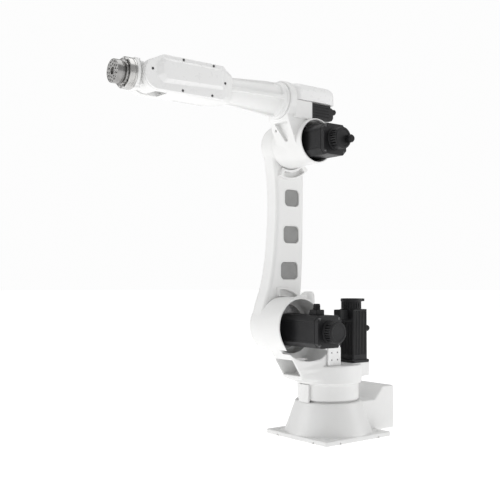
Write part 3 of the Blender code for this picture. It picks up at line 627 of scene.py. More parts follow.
for y in (-35, -28, -21):
    for z in (101, 111, 121):
        pins.append(to_object(disc("X", y, z, 1.6, BOX_X0 - 8, BOX_X0 - 1.7, 16, ch=0.5), "pin"))
group("power_inlet_pins", "base", "contact", [], pins)
made("signal_inlet_shell", "base", "plug_black", "plug", ["signal_connector"],
     [turned([(0, BOX_X0 - 2), (11, BOX_X0 - 2), (11, BOX_X0 - 11), (15, BOX_X0 - 11), (16.6, BOX_X0 - 9),
              (16.6, BOX_X0 + 26), (0, BOX_X0 + 26)], "X", 32, 112, 64, r=0.6, steps=2)])
pins = [to_object(disc("X", y, z, 1.0, BOX_X0 - 8, BOX_X0 - 1.7, 12, ch=0.3), "pin")
        for y, z in ring_of(6, 6.5, 32, 112) + [(32, 112)]]
group("signal_inlet_pins", "base", "contact", [], pins)
stop = arc(0, 0, 133, -12.5, 12.5, 16) + arc(0, 0, 122.3, 12.5, -12.5, 16)
made("waist_stop_block", "base", "base_paint", "casting", ["j1_stop_block"],
     [prism(soften(stop, 1.6, 3), "Z", 140 + GAP, RING_SPLIT - 2, bevel=1.6, cap="hi")])

# =============================== turret ======================================
FRONT_FOOT, FRONT_SLOPE = 162.0, 0.66
ring = turned([(0, TURRET_Z0), (121.5, TURRET_Z0), (121.5, 209), (129, 210), (134, 214), (134, 280), (131, TURRET_TOP),
               (0, TURRET_TOP)], "Z", 0, 0, 144, r=[0, 2.5, 1.5, 1, 2, 2, 2, 0])


def bracket_plan(z, front):
    near = 27.4
    pts = [(front, -89.4), (front, near), (104, 84), (74, 84), (70, 20), (20, 10), (20, -89.4)]
    return [(x, y, z) for x, y in soften(pts, [7, 12, 10, 6, 8, 0, 0], 5)]


bracket_rows = [(213.5, 112), (222, 138), (228, 154), (232, 160), (238, 162), (246, 164.6), (270, 180.5), (300, 200.3), (345, 230)]
bracket = skin([bracket_plan(z, f) for z, f in bracket_rows])
cheek = prism(soften([(258, 388), (225, 338), (50, 338), (60, 433), (200, 433)], [10, 14, 0, 0, 0], 5), "Y", -89.1, 27.1)
housing = turned([(0, -90), (112, -90), (112, 28), (0, 28)], "Y", J2[0], J2[1], 144, r=[0, 3, 4, 0])
lug = turned([(0, 515), (25, 515), (25, 550), (22, 562), (13, 567.5), (0, 567.5)], "Z", 108, 4, 64, r=[0, 0, 4, 4, 3, 0])
lug_web = prism(soften([(96, 515), (186, 515), (178, 543), (140, 552), (128, 563), (108, 566), (96, 560)],
                       [0, 0, 4, 8, 8, 4, 4], 5), "Y", -12, 20, bevel=3)
foot = prism(soften([(M1[0] - 46, 40), (-40, 40), (M1[0] + 46, 15), (M1[0] + 46, 109), (M1[0] - 46, 109)],
                    [6, 0, 0, 7, 7], 5), "Z", 234, M1_Z, bevel=2)
stop_lug = box(-131, -112, -11, 11, 152, 205, 1.5)
mouth = []
for k in range(128):
    a = 2 * math.pi * (k + 0.25) / 128
    r = HOUSING_BORE + 0.5 + 28 * max(0.0, math.cos(a + math.radians(112))) ** 2
    mouth.append((J2[0] + r * math.cos(a), J2[1] + r * math.sin(a)))
well_ribs = [box(J2[0] - 3, J2[0] + 3, -70, 8, 433 + 88, 433 + 108, 1.2),
             box(J2[0] + 30, J2[0] + 36, -70, 8, 433 + 80, 433 + 102, 1.2)]
cast("turret_casting_shell", "turret", "casting", ["turret_casting"],
     [ring, bracket, cheek, housing, lug, lug_web, foot, stop_lug],
     [
         turned([(0, -72), (96, -72), (HOUSING_BORE, -62), (HOUSING_BORE, 33), (0, 33)], "Y", J2[0], J2[1], 128),
         prism(mouth, "Y", -20, 120),
         disc("Y", J2[0], J2[1], 62, -100, -60, 96),
         prism(soften([(270, 306), (270, 243), (96, 243), (110, 306)], [0, 0, 8, 8], 4), "Y", -81, 19),
         disc("Z", 108, 4, 8, 548, 580, 32),
         disc("Z", 0, 0, 84, 137, 153, 96),
     ], voxel=1.9, rounds=4)

made("waist_motor_flange", "turret", "motor_black", "motor", ["j1_motor_flange"],
     [prism(rrect(M1[0] - 46, M1[0] + 46, M1[1] - 46, M1[1] + 46, 8), "Z", M1_Z + GAP, M1_Z + 10, bevel=1.2)],
     [disc("Z", M1[0] + sx * 38, M1[1] + sy * 38, 5.2, M1_Z + 6.5, M1_Z + 20, 32) for sx in (-1, 1) for sy in (-1, 1)])
group("waist_motor_screws", "turret", "bolt", [],
      [socket_screw("Z", M1[0] + sx * 38, M1[1] + sy * 38, M1_Z + 6.6, 4.6, 5.0) for sx in (-1, 1) for sy in (-1, 1)])


def grooves_z(cx, cy, half, lo, hi, pitch, width, deep, faces):
    out = []
    n = int((2 * half - 14) // pitch)
    for face in faces:
        for k in range(n + 1):
            at = (k - n / 2) * pitch
            w = width / 2
            if face == "+X":
                out.append(box(cx + half - deep, cx + half + 9, cy + at - w, cy + at + w, lo, hi))
            if face == "-X":
                out.append(box(cx - half - 9, cx - half + deep, cy + at - w, cy + at + w, lo, hi))
            if face == "+Y":
                out.append(box(cx + at - w, cx + at + w, cy + half - deep, cy + half + 9, lo, hi))
            if face == "-Y":
                out.append(box(cx + at - w, cx + at + w, cy - half - 9, cy - half + deep, lo, hi))
    return out


made("waist_motor_body", "turret", "motor_black", "motor", ["j1_motor_body"],
     [prism(soften(chrect(M1[0] - 39.5, M1[0] + 39.5, M1[1] - 39.5, M1[1] + 39.5, 4), 2.0, 3), "Z", M1_Z + 10 + GAP, 496,
            bevel=1.2)],
     grooves_z(M1[0], M1[1], 39.5, 318, 490, 8.6, 3.2, 2.4, ("+Y", "-Y", "-X"))
     + grooves_z(M1[0], M1[1], 39.5, 318, 446, 8.6, 3.2, 2.4, ("+X",)))
M1C = (M1[0] + 6, M1[1] - 5)
slots = []
for k in range(24):
    a = 2 * math.pi * k / 24
    if 20 < math.degrees(a) % 360 < 200 or math.degrees(a) % 360 > 290 or True:
        c, s = math.cos(a), math.sin(a)
        pts = [(36.6, -2.0), (60, -2.0), (60, 2.0), (36.6, 2.0)]
        slots.append(prism([(M1C[0] + x * c - y * s, M1C[1] + x * s + y * c) for x, y in pts], "Z", 501, 523))
made("waist_encoder_cap", "turret", "motor_black", "cap", ["j1_encoder_cap"],
     [turned([(0, 496 + GAP), (40, 496 + GAP), (40, 527), (0, 527)], "Z", M1C[0], M1C[1], 96, r=[0, 1, 0, 0]),
      turned([(0, 526), (42, 526), (42, 538), (0, 538)], "Z", M1C[0], M1C[1], 96, r=[0, 1, 2, 0]),
      prism(rrect(M1C[0] - 58, M1C[0], M1C[1] - 14, M1C[1] + 24, 12, 8), "Z", 526.5, 537.4, bevel=1.5)], slots)
made("waist_terminal_box", "turret", "plug_black", "plug", ["j1_motor_terminal_box"],
     [prism(rrect(M1[1] - 24, M1[1] + 12, 456, 495, 3), "X", M1[0] + 39.5 + GAP, M1[0] + 84, bevel=1.5)],
     [box(M1[0] + 61, M1[0] + 62.2, M1[1] - 40, M1[1] - 23.2, 440, 520), box(M1[0] + 61, M1[0] + 62.2, M1[1] + 11.2, M1[1] + 40, 440, 520),
      box(M1[0] + 61, M1[0] + 62.2, M1[1] - 40, M1[1] + 40, 494.2, 520)])
made("waist_motor_plug", "turret", "plug_black", "plug", ["j1_motor_plug"],
     [turned([(0, M1[0] - 39.5 - GAP), (12, M1[0] - 39.5 - GAP), (12, M1[0] - 52), (9, M1[0] - 57), (0, M1[0] - 57)],
             "X", M1[1] + 26, 420, 48, r=[0, 0.8, 1.5, 1.5, 0])])
made("waist_terminal_plate", "turret", "arm_paint", "cover", ["terminal_plate"],
     [prism(rrect(20, 86, TURRET_TOP + GAP, 352, 3), "Y", 86, 94, bevel=1.0)],
     [disc("Y", x, z, 3.2, 91.5, 100, 24) for x in (38, 68) for z in (305, 333)])
group("terminal_plate_screws", "turret", "bolt", [],
      [socket_screw("Y", x, z, 91.6, 2.9, 1.9) for x in (38, 68) for z in (305, 333)])


def big_motor(prefix, node, body, cx, cz, y0, y1, half, drop_by):
    """A square servo motor with cut corners, lengthwise fins, an end bell and a vented cap."""
    cz -= drop_by
    cuts = []
    for sx in (-1, 1):
        for k in (-1, 0, 1):
            at = cz + sx * (half - 18 - 6)
            cuts.append(box(cx + sx * half - 1.6, cx + sx * half + 1.6, y0 + 50, y1 - 22, at + k * 0 - 1.3, at + k * 0 + 1.3) if k == 0 else None)
    cuts = [c for c in cuts if c is not None]
    for sx in (-1, 1):
        for off in (-1, 1):
            cuts.append(box(cx + sx * half - 1.8, cx + sx * half + 6, y0 + 40, y1 - 24,
                            cz + off * (half - 25) - 1.4, cz + off * (half - 25) + 1.4))
            cuts.append(box(cx + off * (half - 25) - 1.4, cx + off * (half - 25) + 1.4, y0 + 40, y1 - 24,
                            cz + sx * half - 1.8 if sx > 0 else cz - half - 6, cz + half + 6 if sx > 0 else cz - half + 1.8))
    cuts = cuts[-8:]
    seam = []
    for y in (y1 - 18.5,):
        outer = chrect(cx - half - 4, cx + half + 4, cz - half - 4, cz + half + 4, 18)
        seam.append((outer, y))
    body_obj = made(prefix + "_motor_housing", body, "motor_black", "motor", [node + "_motor_body"],
                    [prism(soften(chrect(cx - half, cx + half, cz - half, cz + half, 18), 4.0, 4), "Y", y0, y1 - 19.4, bevel=1.4),
                     prism(soften(chrect(cx - half + 1.4, cx + half - 1.4, cz - half + 1.4, cz + half - 1.4, 18), 4.0, 4), "Y", y1 - 21, y1 - 16),
                     prism(soften(chrect(cx - half, cx + half, cz - half, cz + half, 18), 4.0, 4), "Y", y1 - 18, y1, bevel=1.6)],
                    cuts + [disc("Y", cx + sx * (half - 12), cz + sz * (half - 12), 5.4, y1 - 5, y1 + 9, 28)
                            for sx in (-1, 1) for sz in (-1, 1)])
    group(prefix + "_motor_screws", body, "bolt", [],
          [socket_screw("Y", cx + sx * (half - 12), cz + sz * (half - 12), y1 - 4.9, 4.6, 4.4)
           for sx in (-1, 1) for sz in (-1, 1)])
    vents = [box(cx + 24, cx + 60, y1 + 13, y1 + 39, cz - 31 + 9 * k, cz - 27.4 + 9 * k) for k in range(7)]
    vents += [box(cx - 60, cx - 24, y1 + 13, y1 + 39, cz - 31 + 9 * k, cz - 27.4 + 9 * k) for k in range(7)]
    made(prefix + "_encoder_bell", body, "motor_black", "cap", [node + "_encoder_cap"],
         [turned([(0, y1 + GAP), (42, y1 + GAP), (42, y1 + 5), (40.4, y1 + 6.5), (40.4, y1 + 42), (37, y1 + 45), (31, y1 + 45),
                  (29.5, y1 + 43.6), (0, y1 + 43.6)], "Y", cx, cz, 120, r=[0, 0.8, 0.8, 0.8, 2.5, 2.0, 0.8, 0.6, 0], steps=3)],
         vents)
    return body_obj


big_motor("shoulder", "j2", "turret", J2[0], J2[1], -57, 186, 60, J2_DROP)
M2Z = J2[1] - J2_DROP
made("shoulder_terminal_box", "turret", "plug_black", "plug", ["j2_motor_terminal_box"],
     [prism(rrect(148, 190, 99, 139, 4), "Z", M2Z + 60 + GAP, M2Z + 80, bevel=1.8)],
     [disc("Z", 154, 105, 2.4, M2Z + 78, M2Z + 90, 20), disc("Z", 184, 133, 2.4, M2Z + 78, M2Z + 90, 20)])
made("shoulder_motor_plug", "turret", "plug_black", "plug", ["j2_motor_plug"],
     [turned([(0, M2Z + 80 + GAP), (13, M2Z + 80 + GAP), (13, M2Z + 96), (11, M2Z + 102), (0, M2Z + 102)], "Z", 169, 119, 64,
             r=[0, 0.8, 1.5, 1.5, 0])],
     [prism([(169 + x * math.cos(a) - y * math.sin(a), 119 + x * math.sin(a) + y * math.cos(a))
             for x, y in ((12.0, -0.9), (20, -0.9), (20, 0.9), (12.0, 0.9))], "Z", M2Z + 84, M2Z + 94)
      for a in [2 * math.pi * k / 18 for k in range(18)]])

# =============================== upper arm ===================================
STATIONS = [
    (452, 68, 268, -165), (520, 56, 246, -165), (592, 48, 220, -164), (680, 43, 202, -163), (770, 40, 192, -162),
    (860, 39, 186, -162), (935, 38, 185, -162), (1020, 37, 189, -163), (1090, 38, 199, -164), (1130, 40, 206, -164.5),
]
WINDOWS = [("lower", 614, 683, 74, 162), ("middle", 759, 827, 69, 148), ("upper", 907, 973, 67, 141)]
arm_rows = []
for i in range(41):
    z = 452 + (1130 - 452) * i / 40
    xb, xf, yf = glide(STATIONS, z)
    arm_rows.append([(x, y, z) for x, y in rrect(xb, xf, yf, ARM_FACE, 15, 6)])
arm_adds = [
    skin(arm_rows),
    turned([(0, ARM_Y0), (104, ARM_Y0), (104, ARM_Y1 - 3), (97, ARM_Y1 - 3), (97, ARM_Y1), (0, ARM_Y1)], "Y", J2[0], J2[1], 144, r=[0, 10, 1.5, 0, 0, 0], steps=6),
    turned([(0, ARM_Y0), (87, ARM_Y0), (87, ARM_Y1 - 3), (80, ARM_Y1 - 3), (80, ARM_Y1), (0, ARM_Y1)], "Y", J3[0], J3[1], 128, r=[0, 10, 1.5, 0, 0, 0], steps=6),
]


def crescent(cx, cz, r0, r1, a0, a1, lo, hi):
    pts = arc(cx, cz, r1, a0, a1, 28) + arc(cx, cz, r0, a1, a0, 28)
    return prism(pts, "Y", lo, hi, bevel=2.0, cap="hi")


arm_adds.append(crescent(J2[0], J2[1], 113.5, 150, 82, 128, -104, -84))
arm_adds.append(crescent(J3[0], J3[1], 94.5, 132, 222, 292, -104, -83))
for _, z0, z1, x0, x1 in WINDOWS:
    arm_adds.append(prism(rrect(x0 - 4, x1 + 4, z0 - 4, z1 + 4, 20, 8), "Y", ARM_FACE - 4, ARM_FACE + 1.4, bevel=1.0, cap="hi"))
arm_cuts = [prism(rrect(x0, x1, z0, z1, 17, 8), "Y", ARM_FACE - 9, ARM_FACE + 8) for _, z0, z1, x0, x1 in WINDOWS]
arm_cuts.append(prism(soften(arc(J2[0], J2[1], 141, 86, 124, 24) + arc(J2[0], J2[1], 119, 124, 86, 24), 3, 3), "Y", -104, -70))
arm_cuts.append(prism(soften(arc(J3[0], J3[1], 125, 232, 284, 24) + arc(J3[0], J3[1], 104, 284, 232, 24), 3, 3), "Y", -104, -70))
arm_cuts += [disc("Y", J2[0], J2[1], 62, ARM_Y0 - 5, ARM_Y0 + 12), disc("Y", J3[0], J3[1], 55, ARM_Y0 - 5, ARM_Y0 + 12)]
arm_cuts += [disc("Y", J2[0], J2[1], 56, ARM_Y1 - 8, ARM_Y1 + 5), disc("Y", J3[0], J3[1], 50, ARM_Y1 - 8, ARM_Y1 + 5)]
hub_screws = [(x, z, 5.6) for x, z in ring_of(12, 76, J2[0], J2[1], 0.5)] + [(x, z, 4.8) for x, z in ring_of(12, 67, J3[0], J3[1], 0.5)]
arm_cuts += [disc("Y", x, z, r + 0.8, ARM_Y0 - 5, ARM_Y0 + 6, 28) for x, z, r in hub_screws]
cast("upper_arm_shell", "upper_arm", "casting", ["upper_arm_casting"], arm_adds, arm_cuts, voxel=1.7, rounds=4)
group("hub_screws", "upper_arm", "bolt", [],
      [socket_screw("Y", x, z, ARM_Y0 + 6.2, r, 5.0, -1) for x, z, r in hub_screws])
for tag, z0, z1, x0, x1 in WINDOWS:
    made(tag + "_window_plate", "upper_arm", "window_grey", "window", [tag + "_window_cover"],
         [prism(rrect(x0 + 0.8, x1 - 0.8, z0 + 0.8, z1 - 0.8, 16, 8), "Y", ARM_FACE - 8.7, ARM_FACE - 4, bevel=0.9, cap="hi")],
         [disc("Y", x, z, 2.2, ARM_FACE - 5, ARM_FACE, 20) for x in (x0 + 11, x1 - 11) for z in (z0 + 11, z1 - 11)])
for tag, (cx, cz), r, node in (("shoulder", J2, 61.4, "lower_hub_cap"), ("elbow", J3, 54.4, "upper_hub_cap")):
    made(tag + "_hub_cover", "upper_arm", "cover_white", "cover", [node],
         [turned([(0, ARM_Y0 + 4.5), (r - 14, ARM_Y0 + 4.5), (r - 11, ARM_Y0 + 3), (r, ARM_Y0 + 3), (r, ARM_Y0 + 11.7), (0, ARM_Y0 + 11.7)],
                 "Y", cx, cz, 112, r=[0, 1.5, 1.5, 1.4, 0, 0])])

# =============================== elbow =======================================
ELBOW_R0, ELBOW_R1, ELBOW_Y1, ELBOW_BORE = 91.0, 86.5, 78.0, 80.0
neck = [(206, 1115), (251, 1228), (254, 1236), (254, 1300), (136, 1300), (136, 1223), (74, 1223)] + arc(J3[0], J3[1], 84, 122, -21, 40)
POCKET = [[(206, -4, 1144), (290, -4, 1144), (290, 10, 1144), (206, 10, 1144)],
          [(222, -37, 1214), (290, -37, 1214), (290, 39, 1214), (222, 39, 1214)]]
elbow_adds = [
    turned([(0, -90), (ELBOW_R0, -90), (ELBOW_R0, -62), (ELBOW_R1, -12), (ELBOW_R1, ELBOW_Y1), (0, ELBOW_Y1)],
           "Y", J3[0], J3[1], 144, r=[0, 3, 0, 0, 4, 0]),
    (prism(neck, "Y", -62, 52), [skin(POCKET), disc("X", -40, 1188, 5, 221, 262, 28)]),
    turned([(0, 222), (76, 222), (76, 254.7), (0, 254.7)], "X", 0, FORE_Z, 144, r=[0, 5, 3.5, 0]),
    box(133, 224, -56, 61, 1229, 1297.5, 4),
]
elbow_cuts = [
    turned([(0, -70), (74, -70), (ELBOW_BORE, -64), (ELBOW_BORE, ELBOW_Y1 + 5), (0, ELBOW_Y1 + 5)], "Y", J3[0], J3[1], 128),
    disc("Y", J3[0], J3[1], 56, -100, -60, 96),
    skin(POCKET),
]
cast("elbow_casting_shell", "elbow", "casting", ["elbow_casting"], elbow_adds, elbow_cuts, voxel=1.6, rounds=4)
big_motor("elbow", "j3", "elbow", J3[0], J3[1], -57, 176, 58, J3_DROP)
M3Z = J3[1] - J3_DROP
made("elbow_motor_plug", "elbow", "plug_black", "plug", ["j3_motor_plug"],
     [turned([(0, 221 + 2 * GAP), (15, 221 + 2 * GAP), (15, 238), (11, 243.9), (0, 243.9)], "Y", 103, M3Z - 3, 64, r=[0, 0.6, 2, 2.5, 0])],
     [prism([(103 + x * math.cos(a) - y * math.sin(a), M3Z - 3 + x * math.sin(a) + y * math.cos(a))
             for x, y in ((14.0, -0.9), (22, -0.9), (22, 0.9), (14.0, 0.9))], "Y", 224.5, 235)
      for a in [2 * math.pi * k / 20 for k in range(20)]])
fins = []
for k in range(5):
    y = 4 + 11 * k
    fins.append(box(46, 121, y - 1.5, y + 1.5, 1294, 1300))
    fins.append(box(46, 121, y - 1.5, y + 1.5, 1230, 1236))
for k in range(4):
    z = 1248 + 11.3 * k
    fins.append(box(46, 121, 55, 62, z - 1.5, z + 1.5))
made("forearm_motor_body", "elbow", "motor_black", "motor", ["j4_motor_body"],
     [prism(soften(chrect(-5, 57, 1234, 1296, 6), 2.0, 3), "X", 34, 133 - GAP, bevel=1.4)], fins)
made("forearm_encoder_cap", "elbow", "motor_black", "cap", ["j4_encoder_cap"],
     [prism(soften(chrect(0, 52, 1239, 1291, 9), 4.0, 4), "X", 14, 34 - GAP, bevel=2.5, cap="lo")])
made("forearm_motor_plug", "elbow", "plug_black", "plug", ["j4_motor_plug"],
     [turned([(0, 14 - GAP), (11, 14 - GAP), (11, 0), (8, -4), (0, -4)], "X", 40, 1276, 48, r=[0, 0.6, 1.5, 1.5, 0])])
cover_rows = []
for z, inset in ((1300 + GAP, 0.0), (1318, 0.0), (1338, 0.6), (1350, 2.6), (1357, 6.0), (1362, 11.0), (1365, 18.0), (1366, 27.0)):
    cover_rows.append([(x, y, z) for x, y in rrect(-2 + inset * 1.3, 220.7 - inset * 0.5, -57 + inset, 57 - inset, 36 - inset * 0.3, 12)])
cast("forearm_rear_hood", "elbow", "cover", ["rear_top_cover"],
     [skin(cover_rows)], [prism(rrect(8, 213, -48, 48, 27, 8), "Z", 1290, 1354)], voxel=1.6, rounds=3)

# =============================== forearm =====================================
TX0, TX1 = 255.0, 512.0
rib_adds = []
for side in range(4):
    prof = [(TX0 + 20, 20), (TX0 + 20, 65.6), (TX0 + 60, 65.6), (TX1, 49.6), (TX1, 20)]
    if side in (0, 2):
        s = 1 if side == 0 else -1
        rib_adds.append(prism([(x, FORE_Z + s * r) for x, r in prof], "Y", -7.5, 7.5, bevel=3))
    else:
        s = 1 if side == 1 else -1
        rib_adds.append(prism([(x, s * r) for x, r in prof], "Z", FORE_Z - 7.5, FORE_Z + 7.5, bevel=3))
cast("forearm_tube_shell", "forearm", "casting", ["forearm_tube"],
     [turned([(0, TX0), (70, TX0), (70, TX0 + 9), (66, TX0 + 12), (66, TX0 + 26), (56, TX0 + 32), (54.5, TX0 + 60), (45, TX1), (0, TX1)],
             "X", 0, FORE_Z, 144, r=[0, 1.5, 2, 1, 3, 4, 6, 0, 0])] + rib_adds, [], voxel=1.6, rounds=4)
CAS_X0 = TX1 + GAP
cas_rows = []
CAS = [(CAS_X0, 50, -52, 54, 22), (530, 54, -54, 62, 21), (560, CAS_T, -56, 70, 20), (630, CAS_T, -55.5, 70, 20), (700, CAS_T, -55, 70, 20),
       (792, CAS_T, -52.5, 66, 20)]
for x, half, zb, zt, r in CAS:
    cas_rows.append([(x, y, z) for y, z in rrect(-half, half, FORE_Z + zb, FORE_Z + zt, r, 8)])
cast("wrist_casing_shell", "forearm", "casting", ["wrist_casing"],
     [skin(cas_rows),
      prism([(700, FORE_Z - 54)] + arc(J5_X, FORE_Z, 54, -90, 90, 48) + [(700, FORE_Z + 54)], "Y", -CAS_T + 0.5, CAS_T - 0.5, bevel=3)],
     [prism(arc(J5_X, FORE_Z, 74, 90, 270, 48) + [(900, FORE_Z - 74), (900, FORE_Z + 74)], "Y", -35, 35),
      box(556, 734, -50, 44.5, FORE_Z - 44, FORE_Z + 46),
      prism(arc(J5_X, FORE_Z, 95, 50, 150, 40) + arc(J5_X, FORE_Z, 57, 150, 50, 40), "Y", -62, 62),
      prism(arc(J5_X, FORE_Z, 40, -90, 90, 24) + arc(620, FORE_Z, 40, 90, 270, 24), "Y", 44, 70),
      disc("Y", J5_X, FORE_Z, 18, -70, 70, 48), disc("Y", J5_X, FORE_Z, 30, 35, 41.3, 64), disc("Y", J5_X, FORE_Z, 30, -51, -34, 64)],
     voxel=1.6, rounds=3)


def cover_outline(inset):
    r = 53.0 - inset
    zt, zb = FORE_Z + 68 - inset, FORE_Z - 53 + inset
    x0 = 548.0 + inset
    return ([(x0, zb + 14), (x0 + 14, zb)] + arc(J5_X, FORE_Z, r, -90, 62, 40)
            + [(806 - inset / 2, zt), (x0 + 14, zt), (x0, zt - 14)])


SCREWS = [(850, FORE_Z + 13), (729, FORE_Z + 61), (604, FORE_Z + 61), (732, FORE_Z - 44), (610, FORE_Z - 44), (554, FORE_Z + 8)]
RAISED_FOOT = [(563, -17), (808, -28), (834, -8), (838, 26), (812, 56), (563, 56)]
RAISED_FACE = [(572, -8), (797, -15), (812, 2), (814, 32), (798, 46), (572, 46)]


def side_cover(name, node, sign):
    def span(lo, hi):
        return (lo, hi) if sign > 0 else (-hi, -lo)
    outline = soften(cover_outline(0), [6, 6] + [0] * 41 + [26, 6, 6], 5)
    lo, hi = span(CAS_T + GAP, CAS_T + 8)
    plate = prism(outline, "Y", lo, hi, bevel=2.4, cap="hi" if sign > 0 else "lo", steps=4)
    foot_pts = soften(RAISED_FOOT, 9, 5)
    face_pts = soften(RAISED_FACE, 9, 5)
    raised = skin([[(x, sign * (CAS_T + 6.0), FORE_Z + z) for x, z in foot_pts],
                   [(x, sign * (CAS_T + 8.2), FORE_Z + z) for x, z in foot_pts],
                   [(x, sign * (CAS_T + 17.8), FORE_Z + z) for x, z in face_pts]])
    lo, hi = span(CAS_T - 5, CAS_T + 4)
    inner = [p for p in cover_outline(10)]
    cuts = [prism(inner, "Y", lo, hi)]
    for x, z in SCREWS:
        lo, hi = span(CAS_T + 5, CAS_T + 30)
        cuts.append(disc("Y", x, z, 5.0, lo, hi, 32))
    cast(name, "forearm", "cover", [node], [plate, raised], cuts, voxel=1.15, rounds=4)


side_cover("near_cover_shell", "near_side_cover", 1)
side_cover("far_cover_shell", "far_side_cover", -1)
for k, (x, z) in enumerate(SCREWS):
    group("near_cover_bolt_%d" % (k + 1), "forearm", "bolt", ["near_cover_screw_%d" % (k + 1)],
          [socket_screw("Y", x, z, CAS_T + 5.3, 3.9, 3.4)])
group("far_cover_bolts", "forearm", "bolt", [],
      [socket_screw("Y", x, z, -CAS_T - 5.3, 3.9, 3.4, -1) for x, z in SCREWS])
made("casing_top_plug", "forearm", "plug_black", "plug", ["top_plug"],
     [turned([(0, FORE_Z + 70 + GAP), (8, FORE_Z + 70 + GAP), (8, FORE_Z + 73.4), (6.4, FORE_Z + 75), (0, FORE_Z + 75)],
             "Z", 628, 25, 40, r=[0, 0, 0.8, 0.8, 0])],
     [prism([(628 + 3 * math.cos(math.radians(60 * k)), 25 + 3 * math.sin(math.radians(60 * k))) for k in range(6)],
            "Z", FORE_Z + 72.6, FORE_Z + 80)])

# =============================== wrist =======================================
wrist_adds = [
    turned([(0, -34), (50, -34), (50, 34), (0, 34)], "Y", J5_X, FORE_Z, 112, r=[0, 6, 6, 0]),
    turned([(0, J5_X), (44, J5_X), (50, J5_X + 46), (54, J5_X + 58), (54, 897.7), (0, 897.7)], "X", 0, FORE_Z, 112, r=[0, 0, 8, 4, 2.5, 0]),
]
for a in (62, 118, 242, 298):
    cy, cz = 51.5 * math.cos(math.radians(a)), FORE_Z + 51.5 * math.sin(math.radians(a))
    wrist_adds.append(turned([(0, 872), (6.2, 877), (6.2, 897.7), (0, 897.7)], "X", cy, cz, 32, r=[0, 2, 1, 0]))
cast("wrist_body_shell", "wrist", "casting", ["wrist_body"], wrist_adds,
     [disc("X", 0, FORE_Z, 22, 870, 910, 48), box(700, J5_X + 60, 34, 70, FORE_Z - 80, FORE_Z + 80),
      box(700, J5_X + 60, -70, -34, FORE_Z - 80, FORE_Z + 80),
      disc("Y", J5_X, FORE_Z, 12, 26, 40, 48), disc("Y", J5_X, FORE_Z, 12, -40, -26, 48)], voxel=1.3, rounds=4)
# the housing ring takes the lighter steel copy, a painted highlight
made("wrist_housing_ring", "wrist", "steel", "ring_steel_painted_highlight", ["j6_housing_ring"],
     [turned([(22, 898), (53, 898), (53, 904), (51.2, 905.2), (51.2, 907.2), (53, 908.4), (53, 924), (51.4, 925.7), (22, 925.7)],
             "X", 0, FORE_Z, 144, r=[0, 0.8, 0.6, 0.4, 0.4, 0.6, 1.0, 0.6, 0], steps=3)],
     [disc("X", y, z, 3.3, 922.5, 930, 28) for y, z in ring_of(12, 48.3, 0, FORE_Z, 0.5)])
group("wrist_ring_screws", "wrist", "bolt", [],
      [socket_screw("X", y, z, 922.6, 2.9, 2.9) for y, z in ring_of(12, 48.3, 0, FORE_Z, 0.5)])

# =============================== tool flange =================================
flange_cuts = []
for y, z in ring_of(8, 31.5, 0, FORE_Z, 0.5):
    flange_cuts.append(turned([(0, 948), (3.2, 950), (3.2, 963.6), (3.9, 964.6), (3.9, 970), (0, 970)], "X", y, z, 24))
for y, z in ring_of(8, 34.2, 0, FORE_Z, 0.0):
    flange_cuts.append(disc("X", y, z, 2.4, 954, 970, 20))
for y, z in ring_of(10, 21.5, 0, FORE_Z, 0.25):
    flange_cuts.append(disc("X", y, z, 2.9, 952, 970, 20))
flange_cuts.append(turned([(0, 958.5), (12.5, 958.5), (12.5, 964), (13.2, 964.7), (13.2, 970), (0, 970)], "X", 0, FORE_Z, 64))
for y, z in ring_of(4, 7.4, 0, FORE_Z, 0.5):
    flange_cuts.append(disc("X", y, z, 1.8, 953, 970, 18))
flange_cuts.append(disc("X", 0, FORE_Z, 2.6, 950, 970, 24))
for k in range(24):
    a = 2 * math.pi * k / 24
    c, s = math.cos(a), math.sin(a)
    pts = [(43.4, -1.6), (50, -1.6), (50, 1.6), (43.4, 1.6)]
    flange_cuts.append(prism([(x * c - y * s, FORE_Z + x * s + y * c) for x, y in pts], "X", 925, 935))
made("tool_flange_disc", "tool", "steel", "steel", ["tool_flange"],
     [turned([(0, 900), (21.5, 900), (21.5, 926.2), (45, 926.2), (45, 934), (35, 936), (35, 943), (39.7, 945), (39.7, FLANGE_X), (0, FLANGE_X)],
             "X", 0, FORE_Z, 144, r=[0, 0.6, 0.6, 0.8, 1.0, 1.5, 1.5, 1.0, 1.0, 0], steps=3)], flange_cuts)

# =============================== nodes kept from the CAD =====================
KEPT = {
    "j1_reducer_case": "dark_steel", "j1_reducer_output": "dark_steel", "j2_reducer_case": "dark_steel",
    "j3_reducer_case": "dark_steel", "j2_output_flange": "dark_steel", "j3_output_flange": "dark_steel",
    "j5_motor": "motor", "j6_motor": "motor", "j5_belt": "rubber", "j5_bearing_near": "steel", "j5_bearing_far": "steel",
    "j5_drive_pulley": "zinc", "j5_driven_pulley": "zinc", "j5_shaft_near": "steel", "j5_shaft_far": "steel",
}
for node_name, material in KEPT.items():
    obj = NODES[node_name]
    for slot in obj.material_slots:
        slot.material = MAT[material]
    if not obj.material_slots:
        obj.data.materials.append(MAT[material])

